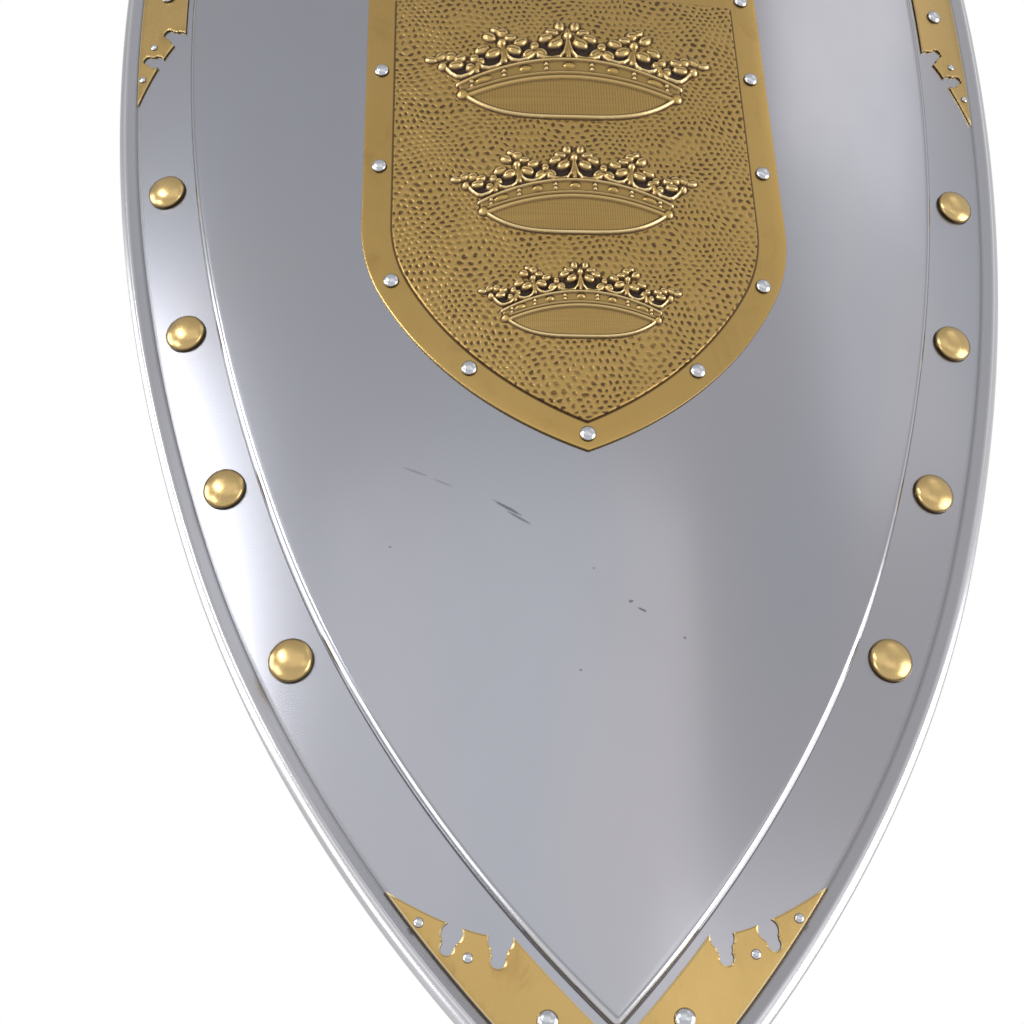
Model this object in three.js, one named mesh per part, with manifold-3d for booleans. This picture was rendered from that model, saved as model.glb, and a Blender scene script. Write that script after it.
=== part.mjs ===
// A steel heater shield: a base sheet with a rolled rim, a raised centre field, a brass escutcheon embossed with
// three crowns, brass corner mounts and studs, and leather straps with a hanging ring on the back.
// Millimetres, +Z up, the front faces -Y. Every piece is first drawn flat, as (along, up, forward), and the sheets
// are then bent to the shield's curve in narrow facets. Up is measured from the point of the raised field, and
// forward from the front face of the base sheet.

import * as THREE from 'three';
import { mergeVertices } from 'three/addons/utils/BufferGeometryUtils.js';
import Module from 'manifold-3d';

const wasm = await Module();
wasm.setup();

// The curve, and what neighbouring pieces keep between them
const bendRadius = 770;
const facetWidth = 29;
const largestTurn = THREE.MathUtils.degToRad(5);
const seatGap = 0.3;
const cutOverrun = 2;
const edgeBevel = 0.4;

// Base sheet and its rolled rim
const baseThickness = 1.2;
const bandWidth = 32;
const rimDiameter = 10.2;
const rimCornerRadius = 10;
const curlSlotAngle = THREE.MathUtils.degToRad(35);

// Raised centre field, a dished plate that stands on the base sheet
const fieldHalfWidth = 210.5;
const fieldHeight = 586.5;
const fieldUpperShare = 1.1222;
const fieldLowerShare = 0.6613;
const fieldCornerRadius = 3.2;
const fieldRise = 4.5;
const fieldThickness = 1.2;
const fieldShoulderRadius = 2.6;

// Brass escutcheon, pressed from one sheet: a flat riveted border round a raised panel
const escutcheonHalfWidth = 107;
const escutcheonTopDrop = 38;
const escutcheonHeight = 298.8;
const escutcheonShoulderHeight = 131.8;
const escutcheonUpperShare = 0.7277;
const escutcheonLowerShare = 1.3737;
const escutcheonCornerRadius = 2;
const escutcheonThickness = 1.2;
const borderSideWidth = 15.5;
const borderTopWidth = 15.7;
const borderTipWidth = 14.8;
const panelUpperShare = 0.7134;
const panelLowerShare = 1.4516;
const panelRise = 1.4;

// Crowns, sized for the top one. Each stands on the line through the tips of its oval ring
const crownHalfWidth = 54;
const crownOvalRise = 13.1;
const crownOvalDrop = 14.4;
const crownRidgeWidth = 2.4;
const crownRidgeHeight = 2.2;
const crownFloorHeight = 0.6;
const crownBandWidth = 13;
const crownBandHeight = 1.5;
const crownJewelRadius = 3.1;
const crownJewelHeight = 2.6;
const crownPetalLength = 5.2;
const crownPetalWidth = 4.4;
const crownPetalHeight = 3.4;
const crownBeadRadius = 2.9;
const crownBeadHeight = 4;
const crownSizeShares = [1, 0.824, 0.65];
const crownHeightShares = [0.7057, 0.4491, 0.2346];
const crownJewelPlaceShares = [-0.76, -0.4, 0, 0.4, 0.76];
const crownJewelStretchShare = 1.5;
const crownFlowerPlaceShares = [[0, 0.85], [0.65, 0.74], [1.1, 0.44]];
const crownFlowerSizeShares = [1, 0.95, 0.8];
const crownFlowerLeans = [0, 0.18, 0.95];
const crownPetalTurns = [0, 1.45, -1.45, Math.PI];
const crownPetalReachShare = 1.5;
const crownPearlPlaceShares = [[0.32, 0.64]];

// Domed rivets round the escutcheon
const borderRivetRadius = 3.9;
const borderRivetHeight = 2.4;
const borderRivetInset = 8.4;
const borderRivetTopDrop = 57.5;
const borderRivetSidePitch = 64.7;
const borderRivetLowReach = 71.3;
const borderRivetBendReach = 139.1;

// Domed studs along the band. Reach is measured along the field's edge from its point
const studRadius = 10.1;
const studHeight = 5;
const topStudPitch = 93;
const studLowestReach = 200.6;
const studHighestDrop = 163;
const studsPerSide = 4;
const studsOnTop = 3;

// Corner mounts: sheet brass whose slanted ends are pierced with keyholes. Reach runs along the field's edge from
// its corner, and across is measured out from that edge
const mountThickness = 1;
const mountInnerAcross = 4;
const mountOuterGap = 0.5;
const mountInnerReach = 52;
const mountOuterReach = 97;
const mountEndSag = 5.5;
const outerMouthReach = 68.6;
const outerMouthAcross = 21.2;
const outerMouthRadius = 4.4;
const outerKeyReach = 65.7;
const outerKeyAcross = 26.2;
const innerMouthReach = 54.5;
const innerMouthAcross = 8.4;
const innerMouthRadius = 5;
const innerKeyReach = 49.4;
const innerKeyAcross = 14.4;
const keyRadius = 2.9;
const mountRivetRadius = 4.3;
const mountRivetHeight = 2.8;
const mountRivetReach = 21;

// Shanks and hammered tails of the fasteners
const shankRadius = 1.6;
const shankClearance = 0.3;
const tailHeight = 1.6;
const tailRadius = 3;
const hiddenHeadRadius = 5;
const hiddenHeadHeight = 1.6;

// Leather straps on the back, cut square from thick leather, with one rivet and washer through each end
const strapThickness = 3.2;
const strapSeatGap = 0.6;
const strapTabLength = 38;
const strapRootRadius = 13.6;
const strapLegAngle = THREE.MathUtils.degToRad(68);
const strapLineRise = 101.3;
const forearmStrapOffset = 72.5;
const forearmStrapWidth = 36;
const forearmStrapSpan = 146;
const forearmStrapStandoff = 80;
const gripOffset = 72.5;
const gripWidth = 30;
const gripSpan = 106;
const gripStandoff = 52;
const washerRadius = 7;
const washerThickness = 1;

// Hanging ring, and the folded clip that holds its bar
const ringDrop = 28;
const ringWireRadius = 2;
const ringHalfWidth = 17;
const ringLegLength = 14;
const ringCornerRadius = 5;
const clipSeatGap = 0.5;
const clipClearance = 0.3;
const clipThickness = 1.2;
const clipSideGap = 1;
const clipLeafLength = 21;
const clipLeafSlit = 0.4;
const clipBendRadius = 1.8;
const clipLeaveAngle = THREE.MathUtils.degToRad(50);
const clipRivetSpacing = 14;
const clipRivetInset = 5.5;

// How finely round shapes are cut into flats
const filletSteps = 2;
const curlSteps = 6;
const bendSteps = 5;
const crownArcSteps = 8;
const domeSides = 5;
const domeSteps = 2;
const rivetSides = 7;
const wireSides = 8;
const studSides = 10;
const armSteps = 3;
const keySides = 8;
const holeSides = 6;

const steel = new THREE.MeshStandardMaterial({ name: 'steel', color: 0xa9abb0, metalness: 1, roughness: 0.34 });
const brass = new THREE.MeshStandardMaterial({ name: 'brass', color: 0xb3934f, metalness: 1, roughness: 0.36 });
const silver = new THREE.MeshStandardMaterial({ name: 'silver', color: 0xd4d5d8, metalness: 1, roughness: 0.22 });
const leather = new THREE.MeshStandardMaterial({ name: 'leather', color: 0x4a2f1d, metalness: 0, roughness: 0.7 });

// Outlines

function arcPoints(centre, radius, from, to, steps) {
  return Array.from({ length: steps + 1 }, (_, i) => {
    const angle = from + ((to - from) * i) / steps;
    return new THREE.Vector2(Math.cos(angle), Math.sin(angle)).multiplyScalar(radius).add(centre);
  });
}

const mirrored = (point) => new THREE.Vector2(-point.x, point.y);

function bothSides(places) {
  return places.flatMap((place) => (Math.abs(place.x) < seatGap ? [place] : [mirrored(place), place]));
}

// A heater shape: a straight top, and sides that leave the vertical at the shoulder on one arc and run down to the
// point on a second one. Their radii are shares of the one arc that would do for both, and how far the upper arc
// turns follows from where the point lies.
function heaterForm({ halfWidth, top, shoulder, tip, upperShare, lowerShare, cornerRadius }) {
  const wholeRadius = (halfWidth ** 2 + (shoulder - tip) ** 2) / (2 * halfWidth);
  const [upperRadius, lowerRadius] = [upperShare * wholeRadius, lowerShare * wholeRadius];
  const upperCentre = new THREE.Vector2(halfWidth - upperRadius, shoulder);
  const toTip = new THREE.Vector2(0, tip).sub(upperCentre);
  const step = upperRadius - lowerRadius;
  const cosine = (toTip.lengthSq() + step ** 2 - lowerRadius ** 2) / (2 * step * toTip.length());
  const upperSweep = Math.atan2(-toTip.y, toTip.x) - Math.acos(cosine);
  const lowerCentre = new THREE.Vector2(Math.cos(upperSweep), -Math.sin(upperSweep));
  lowerCentre.multiplyScalar(step).add(upperCentre);
  const tipSweep = Math.atan2(lowerCentre.y - tip, -lowerCentre.x);
  const filletDrop = Math.sqrt((lowerRadius - cornerRadius) ** 2 - lowerCentre.x ** 2);
  const filletSweep = Math.atan2(filletDrop, -lowerCentre.x);
  const tipFillet = new THREE.Vector2(0, lowerCentre.y - filletDrop);
  const cornerFillet = new THREE.Vector2(halfWidth - cornerRadius, top - cornerRadius);
  const given = { halfWidth, top, upperRadius, lowerRadius, cornerRadius };
  return { ...given, upperCentre, lowerCentre, upperSweep, tipSweep, filletSweep, tipFillet, cornerFillet };
}

// A place on a form's side, by the direction in which the side faces there
function sidePoint(form, angle, offset) {
  const [centre, radius] = angle < -form.upperSweep
    ? [form.lowerCentre, form.lowerRadius]
    : [form.upperCentre, form.upperRadius];
  return new THREE.Vector2(Math.cos(angle), Math.sin(angle)).multiplyScalar(radius + offset).add(centre);
}

function angleAt(form, along, offset) {
  const lower = -Math.acos((along - form.lowerCentre.x) / (form.lowerRadius + offset));
  return lower < -form.upperSweep ? lower : -Math.acos((along - form.upperCentre.x) / (form.upperRadius + offset));
}

// The outline of a form, or one parallel to it, anticlockwise from the point as seen from the front. It has a corner
// on every fold line within the narrowest of the outlines that go together, so that no facet has to be cut again.
function heaterOutline(form, offset = 0, narrowest = offset) {
  const fillet = form.cornerRadius + offset;
  const folds = (limit) => Array.from({ length: Math.ceil(limit / facetWidth) - 1 }, (_, i) => (i + 1) * facetWidth);
  const sideFolds = folds(form.halfWidth + narrowest);
  const stations = (out) => [-form.filletSweep, ...sideFolds.map((fold) => angleAt(form, fold, out)), 0];
  const [angles, shared] = [stations(offset), stations(narrowest)];
  const side = angles.slice(1).flatMap((angle, i) => {
    const steps = Math.ceil((shared[i + 1] - shared[i]) / largestTurn);
    return Array.from({ length: steps }, (_, k) => angles[i] + ((angle - angles[i]) * (k + 1)) / steps);
  });
  const straightSide = form.cornerFillet.y - form.upperCentre.y > edgeBevel;
  const right = [
    ...arcPoints(form.tipFillet, fillet, -Math.PI / 2, -form.filletSweep, filletSteps),
    ...side.map((angle) => sidePoint(form, angle, offset)),
    ...arcPoints(form.cornerFillet, fillet, 0, Math.PI / 2, filletSteps).slice(straightSide ? 0 : 1),
    ...folds(form.cornerFillet.x).reverse().map((fold) => new THREE.Vector2(fold, form.top + offset)),
    new THREE.Vector2(0, form.top + offset),
  ];
  return [...right, ...right.slice(1, -1).map(mirrored).reverse()];
}

// Places along a form's edge, moved out from it: up the side from the point, down the side from the top corner,
// and in along the top from that corner
function fromPoint(form, reach, out) {
  const lowerLength = (form.tipSweep - form.upperSweep) * form.lowerRadius;
  const beyond = reach - lowerLength;
  const [centre, radius, angle] = beyond < 0
    ? [form.lowerCentre, form.lowerRadius, reach / form.lowerRadius - form.tipSweep]
    : [form.upperCentre, form.upperRadius, beyond / form.upperRadius - form.upperSweep];
  return new THREE.Vector2(Math.cos(angle), Math.sin(angle)).multiplyScalar(radius + out).add(centre);
}

// The whole length of a side, from the point to the top corner
function sideReach(form) {
  const arcs = (form.tipSweep - form.upperSweep) * form.lowerRadius + form.upperSweep * form.upperRadius;
  return arcs + form.top - form.upperCentre.y;
}

function downFromCorner(form, reach, out) {
  const beyond = reach - (form.top - form.upperCentre.y);
  if (beyond < 0) {
    return new THREE.Vector2(form.halfWidth + out, form.top - reach);
  }
  const angle = -beyond / form.upperRadius;
  return new THREE.Vector2(Math.cos(angle), Math.sin(angle)).multiplyScalar(form.upperRadius + out).add(form.upperCentre);
}

function inFromCorner(form, reach, out) {
  return new THREE.Vector2(form.halfWidth - reach, form.top + out);
}

const fieldSizes = {
  halfWidth: fieldHalfWidth,
  top: fieldHeight,
  shoulder: fieldHeight - fieldCornerRadius,
  tip: 0,
  upperShare: fieldUpperShare,
  lowerShare: fieldLowerShare,
};
const fieldForm = heaterForm({ ...fieldSizes, cornerRadius: fieldCornerRadius });
const rimForm = heaterForm({ ...fieldSizes, cornerRadius: rimCornerRadius - bandWidth });
const escutcheonTop = fieldHeight - escutcheonTopDrop;
const escutcheonTipHeight = escutcheonTop - escutcheonHeight;
const escutcheonForm = heaterForm({
  halfWidth: escutcheonHalfWidth,
  top: escutcheonTop,
  shoulder: escutcheonTipHeight + escutcheonShoulderHeight,
  tip: escutcheonTipHeight,
  upperShare: escutcheonUpperShare,
  lowerShare: escutcheonLowerShare,
  cornerRadius: escutcheonCornerRadius,
});
const panelForm = heaterForm({
  halfWidth: escutcheonHalfWidth - borderSideWidth,
  top: escutcheonTop - borderTopWidth,
  shoulder: escutcheonTipHeight + escutcheonShoulderHeight,
  tip: escutcheonTipHeight + borderTipWidth,
  upperShare: panelUpperShare,
  lowerShare: panelLowerShare,
  cornerRadius: escutcheonCornerRadius,
});

// How far forward the stacked faces lie
const baseBack = -baseThickness;
const escutcheonBack = fieldRise + seatGap;
const escutcheonFront = escutcheonBack + escutcheonThickness;
const panelFront = escutcheonFront + panelRise;
const mountBack = seatGap;
const mountFront = mountBack + mountThickness;
const strapBack = baseBack - strapSeatGap - strapThickness;
const washerBack = strapBack - seatGap - washerThickness;
const clipFront = baseBack - clipSeatGap;
const clipEyeRadius = ringWireRadius + clipClearance;
const ringForward = clipFront - clipThickness - clipEyeRadius;
const clipBack = clipFront - 2 * clipThickness - clipLeafSlit;
const clipWidth = 2 * (ringHalfWidth - ringCornerRadius - clipSideGap);
const ringHeight = fieldHeight - ringDrop;

// Where the fasteners stand
const rivetLine = escutcheonHalfWidth - borderRivetInset;
const topRivetHeight = escutcheonTop - borderRivetInset;
const upperRivetHeight = topRivetHeight - borderRivetTopDrop;
const borderRivetPlaces = bothSides([
  new THREE.Vector2(0, escutcheonTipHeight + borderRivetInset),
  fromPoint(escutcheonForm, borderRivetLowReach, -borderRivetInset),
  fromPoint(escutcheonForm, borderRivetBendReach, -borderRivetInset),
  new THREE.Vector2(rivetLine, upperRivetHeight - borderRivetSidePitch),
  new THREE.Vector2(rivetLine, upperRivetHeight),
  new THREE.Vector2(rivetLine, topRivetHeight),
  new THREE.Vector2(rivetLine / 3, topRivetHeight),
]);
const bandMiddle = bandWidth / 2;
const studHighestReach = sideReach(fieldForm) - studHighestDrop;
const sideStudPlaces = Array.from({ length: studsPerSide }, (_, i) => {
  const reach = THREE.MathUtils.lerp(studLowestReach, studHighestReach, i / (studsPerSide - 1));
  return fromPoint(fieldForm, reach, bandMiddle);
});
const topStudPlaces = Array.from({ length: studsOnTop }, (_, i) =>
  new THREE.Vector2((i - (studsOnTop - 1) / 2) * topStudPitch, fieldHeight + bandMiddle));
const strapLineHeight = escutcheonTipHeight + strapLineRise;
const strapRivetPlaces = [
  { offset: forearmStrapOffset, span: forearmStrapSpan },
  { offset: -gripOffset, span: gripSpan },
].flatMap(({ offset, span }) => [-1, 1].map((side) =>
  new THREE.Vector2(offset, strapLineHeight + side * (span / 2 + strapTabLength / 2))));
const clipRivetPlaces = [-1, 1].map((side) =>
  new THREE.Vector2((side * clipRivetSpacing) / 2, ringHeight + clipLeafLength - clipRivetInset));

// Closed bodies

function bodyFrom(points, faces) {
  const geometry = new THREE.BufferGeometry().setFromPoints(points);
  geometry.setIndex(faces.flat());
  return geometry;
}

// Shares the vertices of touching faces, and drops the faces that this leaves without area
function welded(geometry) {
  const bare = geometry.clone();
  bare.deleteAttribute('normal');
  bare.deleteAttribute('uv');
  const merged = mergeVertices(bare);
  const index = merged.index.array;
  const faces = Array.from({ length: index.length / 3 }, (_, i) => [...index.slice(3 * i, 3 * i + 3)]);
  merged.setIndex(faces.filter((face) => new Set(face).size === 3).flat());
  return merged;
}

function solid(geometry) {
  const body = welded(geometry);
  const vertProperties = new Float32Array(body.attributes.position.array);
  const triVerts = new Uint32Array(body.index.array);
  return new wasm.Manifold(new wasm.Mesh({ numProp: 3, vertProperties, triVerts }));
}

function fromSolid(manifold) {
  const mesh = manifold.getMesh();
  const geometry = new THREE.BufferGeometry();
  geometry.setAttribute('position', new THREE.BufferAttribute(mesh.vertProperties, mesh.numProp));
  geometry.setIndex(new THREE.BufferAttribute(mesh.triVerts, 1));
  return geometry;
}

function cutAll(geometry, cutters) {
  return fromSolid(cutters.reduce((body, cutter) => body.subtract(solid(cutter)), solid(geometry)));
}

function joinAll(geometries) {
  return fromSolid(geometries.map(solid).reduce((body, other) => body.add(other)));
}

// The walls between matching outlines that follow one another
function ringWalls(rings, count) {
  return Array.from({ length: (rings - 1) * count }, (_, here) => {
    const next = here % count === count - 1 ? here + 1 - count : here + 1;
    return [[here, here + count, next], [next, here + count, next + count]];
  }).flat();
}

// A body through a stack of matching outlines, from its front face round the edge to its back face
function stackBody(rings) {
  const count = rings[0].outline.length;
  const points = rings.flatMap(({ outline, forward }) => outline.map((p) => new THREE.Vector3(p.x, p.y, forward)));
  const last = rings.length - 1;
  const front = THREE.ShapeUtils.triangulateShape(rings[0].outline, []);
  const back = THREE.ShapeUtils.triangulateShape(rings[last].outline, []);
  const backFaces = back.map(([a, b, c]) => [a, c, b].map((index) => last * count + index));
  return bodyFrom(points, [...front, ...ringWalls(rings.length, count), ...backFaces]);
}

function raisedBody(outline, back, front) {
  return stackBody([{ outline, forward: front }, { outline, forward: back }]);
}

// A round cutter along the forward direction
function drill(place, radius, back, front, sides) {
  const geometry = new THREE.CylinderGeometry(radius, radius, front - back + 2 * cutOverrun, sides);
  return geometry.rotateX(Math.PI / 2).translate(place.x, place.y, (back + front) / 2);
}

function shankHoles(places) {
  const radius = (shankRadius + shankClearance) / Math.cos(Math.PI / holeSides);
  return places.map((place) => ({ place, radius, sides: holeSides }));
}

function drilled(body, places, back, front) {
  return cutAll(body, shankHoles(places).map(({ place, radius, sides }) => drill(place, radius, back, front, sides)));
}

// A body turned round the forward direction, from a profile of [radius, forward] pairs
function turnedBody(profile, sides) {
  const geometry = new THREE.LatheGeometry(profile.map(([radius, forward]) => new THREE.Vector2(radius, forward)), sides);
  return welded(geometry.rotateX(Math.PI / 2));
}

// A body of constant width whose outline is drawn as (up, forward)
function foldedBody(outline, width) {
  const geometry = new THREE.ExtrudeGeometry(new THREE.Shape(outline), { depth: width, bevelEnabled: false });
  geometry.translate(0, 0, -width / 2);
  const basis = new THREE.Matrix4();
  basis.makeBasis(new THREE.Vector3(0, 1, 0), new THREE.Vector3(0, 0, 1), new THREE.Vector3(1, 0, 0));
  return geometry.applyMatrix4(basis);
}

// A closed loop of round wire lying in the plane of (along, up)
function wireLoop(path, radius, sides) {
  const points = path.flatMap((point, i) => {
    const before = path[(i + path.length - 1) % path.length];
    const after = path[(i + 1) % path.length];
    const run = after.clone().sub(before).normalize();
    return Array.from({ length: sides }, (_, k) => {
      const angle = (2 * Math.PI * (k + 1 / 2)) / sides;
      const out = new THREE.Vector2(run.y, -run.x).multiplyScalar(radius * Math.cos(angle)).add(point);
      return new THREE.Vector3(out.x, out.y, radius * Math.sin(angle));
    });
  });
  const faces = [];
  path.forEach((_, i) => {
    for (let k = 0; k < sides; k += 1) {
      const [here, side] = [i * sides + k, i * sides + ((k + 1) % sides)];
      const [next, far] = [here, side].map((index) => (index + sides) % points.length);
      faces.push([here, next, side], [side, next, far]);
    }
  });
  return bodyFrom(points, faces);
}

// Bending: flat facets between upright folds, so that neighbouring sheets stay parallel

function facetPoint(along, up, forward) {
  const fold = Math.floor(along / facetWidth);
  const radius = bendRadius + forward;
  const [from, to] = [fold, fold + 1].map((step) => {
    const angle = (step * facetWidth) / bendRadius;
    return new THREE.Vector3(radius * Math.sin(angle), bendRadius - radius * Math.cos(angle), up);
  });
  return from.lerp(to, along / facetWidth - fold);
}

function facetAngle(along) {
  const place = along / facetWidth;
  const onFold = Math.abs(along - Math.round(place) * facetWidth) < edgeBevel;
  return ((onFold ? Math.round(place) : Math.floor(place) + 1 / 2) * facetWidth) / bendRadius;
}

// Divides every face that crosses one fold line, keeping shared edges shared
function foldFaces(points, faces, fold) {
  const sides = points.map((point) => (Math.abs(point.x - fold) < edgeBevel / 20 ? 0 : Math.sign(point.x - fold)));
  const crossings = new Map();
  const crossing = (a, b) => {
    const [low, high] = a < b ? [a, b] : [b, a];
    const key = `${low},${high}`;
    if (!crossings.has(key)) {
      const share = (fold - points[low].x) / (points[high].x - points[low].x);
      crossings.set(key, points.push(points[low].clone().lerp(points[high], share)) - 1);
    }
    return crossings.get(key);
  };
  return faces.flatMap((face) => {
    const signs = face.map((index) => sides[index]);
    if (Math.min(...signs) >= 0 || Math.max(...signs) <= 0) {
      return [face];
    }
    const onFold = signs.indexOf(0);
    const alone = signs.findIndex((sign) => signs.filter((other) => other === sign).length === 1);
    const first = onFold >= 0 ? onFold : alone;
    const [a, b, c] = [face[first], face[(first + 1) % 3], face[(first + 2) % 3]];
    if (onFold >= 0) {
      const middle = crossing(b, c);
      return [[a, b, middle], [a, middle, c]];
    }
    const [toB, toC] = [crossing(a, b), crossing(a, c)];
    return [[a, toB, toC], [toB, b, c], [toB, c, toC]];
  });
}

// An outline with an extra corner wherever it crosses a fold line
function withFolds(outline) {
  return outline.flatMap((point, i) => {
    const next = outline[(i + 1) % outline.length];
    const crossed = allFolds().filter((fold) => (fold - point.x) * (fold - next.x) < 0);
    const shares = crossed.map((fold) => (fold - point.x) / (next.x - point.x)).sort((a, b) => a - b);
    return [point, ...shares.map((share) => point.clone().lerp(next, share))];
  });
}

function allFolds() {
  const count = Math.ceil((fieldHalfWidth + bandWidth + rimDiameter) / facetWidth);
  return Array.from({ length: 2 * count + 1 }, (_, i) => (i - count) * facetWidth);
}

function bentBody(geometry, folds = allFolds()) {
  const flat = welded(geometry);
  const { position } = flat.attributes;
  const points = Array.from({ length: position.count }, (_, i) => new THREE.Vector3().fromBufferAttribute(position, i));
  const index = flat.index.array;
  const whole = Array.from({ length: index.length / 3 }, (_, i) => [...index.slice(3 * i, 3 * i + 3)]);
  const faces = folds.reduce((cut, fold) => foldFaces(points, cut, fold), whole);
  return welded(bodyFrom(points.map((point) => facetPoint(point.x, point.y, point.z)), faces));
}

// A whole plate through a stack of parallel heater outlines, its two faces filled in facet by facet
function bentPlate(rings) {
  const narrowest = (form) => Math.min(...rings.filter((ring) => ring.form === form).map((ring) => ring.offset));
  const outlines = rings.map(({ form, offset }) => heaterOutline(form, offset, narrowest(form)));
  const points = rings.flatMap(({ forward }, i) => outlines[i].map((p) => new THREE.Vector3(p.x, p.y, forward)));
  const walls = ringWalls(rings.length, outlines[0].length);
  const faces = allFolds().reduce((cut, fold) => foldFaces(points, cut, fold), walls);
  const fill = (outline, forward, turned) => {
    allFolds().forEach((fold) => {
      const facet = outline.filter((p) => p.x > fold - edgeBevel / 20 && p.x < fold + facetWidth + edgeBevel / 20);
      if (facet.length > 2) {
        const start = points.length;
        points.push(...facet.map((p) => new THREE.Vector3(p.x, p.y, forward)));
        THREE.ShapeUtils.triangulateShape(facet, []).forEach(([a, b, c]) => {
          faces.push(turned ? [start + a, start + c, start + b] : [start + a, start + b, start + c]);
        });
      }
    });
  };
  const last = rings.length - 1;
  fill(withFolds(outlines[0]), rings[0].forward, false);
  fill(withFolds(outlines[last]), rings[last].forward, true);
  return welded(bodyFrom(points.map((point) => facetPoint(point.x, point.y, point.z)), faces));
}

// Assembly

const shield = new THREE.Group();

function addMesh(name, geometry, material) {
  const mesh = new THREE.Mesh(geometry, material.clone());
  mesh.name = name;
  shield.add(mesh);
  return mesh;
}

// Stands a straight piece, drawn round the middle line, at its place on the curve and square to the sheet there
function addStanding(name, geometry, material, place) {
  const mesh = addMesh(name, geometry.clone().rotateX(Math.PI / 2), material);
  mesh.position.copy(facetPoint(place.x, place.y, 0));
  mesh.rotation.z = facetAngle(place.x);
  return mesh;
}

// Round holes through a plate that is bent already, each square to the sheet at its place
function pierced(plate, holes, back, front) {
  return cutAll(plate, holes.map(({ place, radius, sides }) => {
    const { x, y, z } = facetPoint(place.x, place.y, 0);
    const hole = drill(new THREE.Vector2(0, 0), radius, back, front, sides);
    return hole.rotateX(Math.PI / 2).rotateZ(facetAngle(place.x)).translate(x, y, z);
  }));
}

// Base sheet: its edge rises into a bead, goes round and ends behind the sheet, leaving a slot open at the back
function basePlate() {
  const outerRadius = rimDiameter / 2;
  const innerRadius = outerRadius - baseThickness;
  const centre = new THREE.Vector2(bandWidth + outerRadius, baseBack / 2);
  const outerStart = Math.PI - Math.asin(-centre.y / outerRadius);
  const innerEnd = Math.PI + Math.asin(-centre.y / innerRadius);
  const curlEnd = curlSlotAngle - Math.PI;
  const section = [
    ...arcPoints(centre, outerRadius, outerStart, curlEnd, curlSteps),
    ...arcPoints(centre, innerRadius, curlEnd, innerEnd, curlSteps),
  ];
  const places = [
    ...borderRivetPlaces,
    ...bothSides(sideStudPlaces),
    ...topStudPlaces,
    ...mountRivetPlaces,
    ...strapRivetPlaces,
    ...clipRivetPlaces,
  ];
  const rings = section.map((point) => ({ form: rimForm, offset: point.x, forward: point.y }));
  return pierced(bentPlate(rings), shankHoles(places), baseBack, 0);
}

// Raised field: a dish with a rounded shoulder, whose edge stands on the base sheet
function fieldPlate() {
  const centre = new THREE.Vector2(-fieldShoulderRadius, fieldRise - fieldShoulderRadius);
  const section = [
    ...arcPoints(centre, fieldShoulderRadius, Math.PI / 2, 0, filletSteps + 1),
    new THREE.Vector2(0, seatGap),
    new THREE.Vector2(-fieldThickness, seatGap),
    ...arcPoints(centre, fieldShoulderRadius - fieldThickness, 0, Math.PI / 2, filletSteps),
  ];
  const rings = section.map((point) => ({ form: fieldForm, offset: point.x, forward: point.y }));
  return pierced(bentPlate(rings), shankHoles(borderRivetPlaces), 0, fieldRise);
}

// The crowns' oval ring, and lines that run parallel above its top arc
const ovalRadius = (crownHalfWidth ** 2 + crownOvalRise ** 2) / (2 * crownOvalRise);

function overOval(placeShare, out) {
  const tilt = Math.asin((placeShare * crownHalfWidth) / ovalRadius);
  const place = new THREE.Vector2(Math.sin(tilt), Math.cos(tilt)).multiplyScalar(ovalRadius + out);
  return place.add(new THREE.Vector2(0, crownOvalRise - ovalRadius));
}

const acrossShares = Array.from({ length: crownArcSteps + 1 }, (_, i) => (2 * i) / crownArcSteps - 1);

function ovalOutline(inset) {
  const half = crownHalfWidth - 2 * inset;
  const bow = (share, depth) => new THREE.Vector2(share * half, depth * (1 - share ** 2));
  const lower = acrossShares.map((share) => bow(share, inset - crownOvalDrop));
  const upper = acrossShares.map((share) => bow(share, crownOvalRise - inset));
  return [...lower, ...upper.reverse().slice(1, -1)];
}

function bandOutline(low, high) {
  const lower = acrossShares.map((share) => overOval(share, low));
  const upper = acrossShares.map((share) => overOval(share, high));
  return [...lower, ...upper.reverse()];
}

const reliefFoot = panelFront - escutcheonThickness / 2;

// A low rounded boss, long one way and turned by an angle
function boss(place, length, width, height, turn) {
  const dome = turnedBody([[0, 0], [1, 0], [Math.cos(Math.PI / 4), Math.sin(Math.PI / 4)], [0, 1]], domeSides);
  dome.scale(length, width, panelFront + height - reliefFoot);
  return dome.rotateZ(turn).translate(place.x, place.y, reliefFoot);
}

// A flower of four petals round a bead
function flowerBodies(middle, size, lean) {
  const petal = (turn) => {
    const angle = Math.PI / 2 - lean + turn;
    const reach = crownPetalLength * crownPetalReachShare * size;
    const place = new THREE.Vector2(Math.cos(angle), Math.sin(angle)).multiplyScalar(reach).add(middle);
    return boss(place, crownPetalLength * size, crownPetalWidth * size, crownPetalHeight, angle);
  };
  return [
    ...crownPetalTurns.map(petal),
    boss(middle, crownBeadRadius * size, crownBeadRadius * size, crownBeadHeight, 0),
  ];
}

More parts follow.
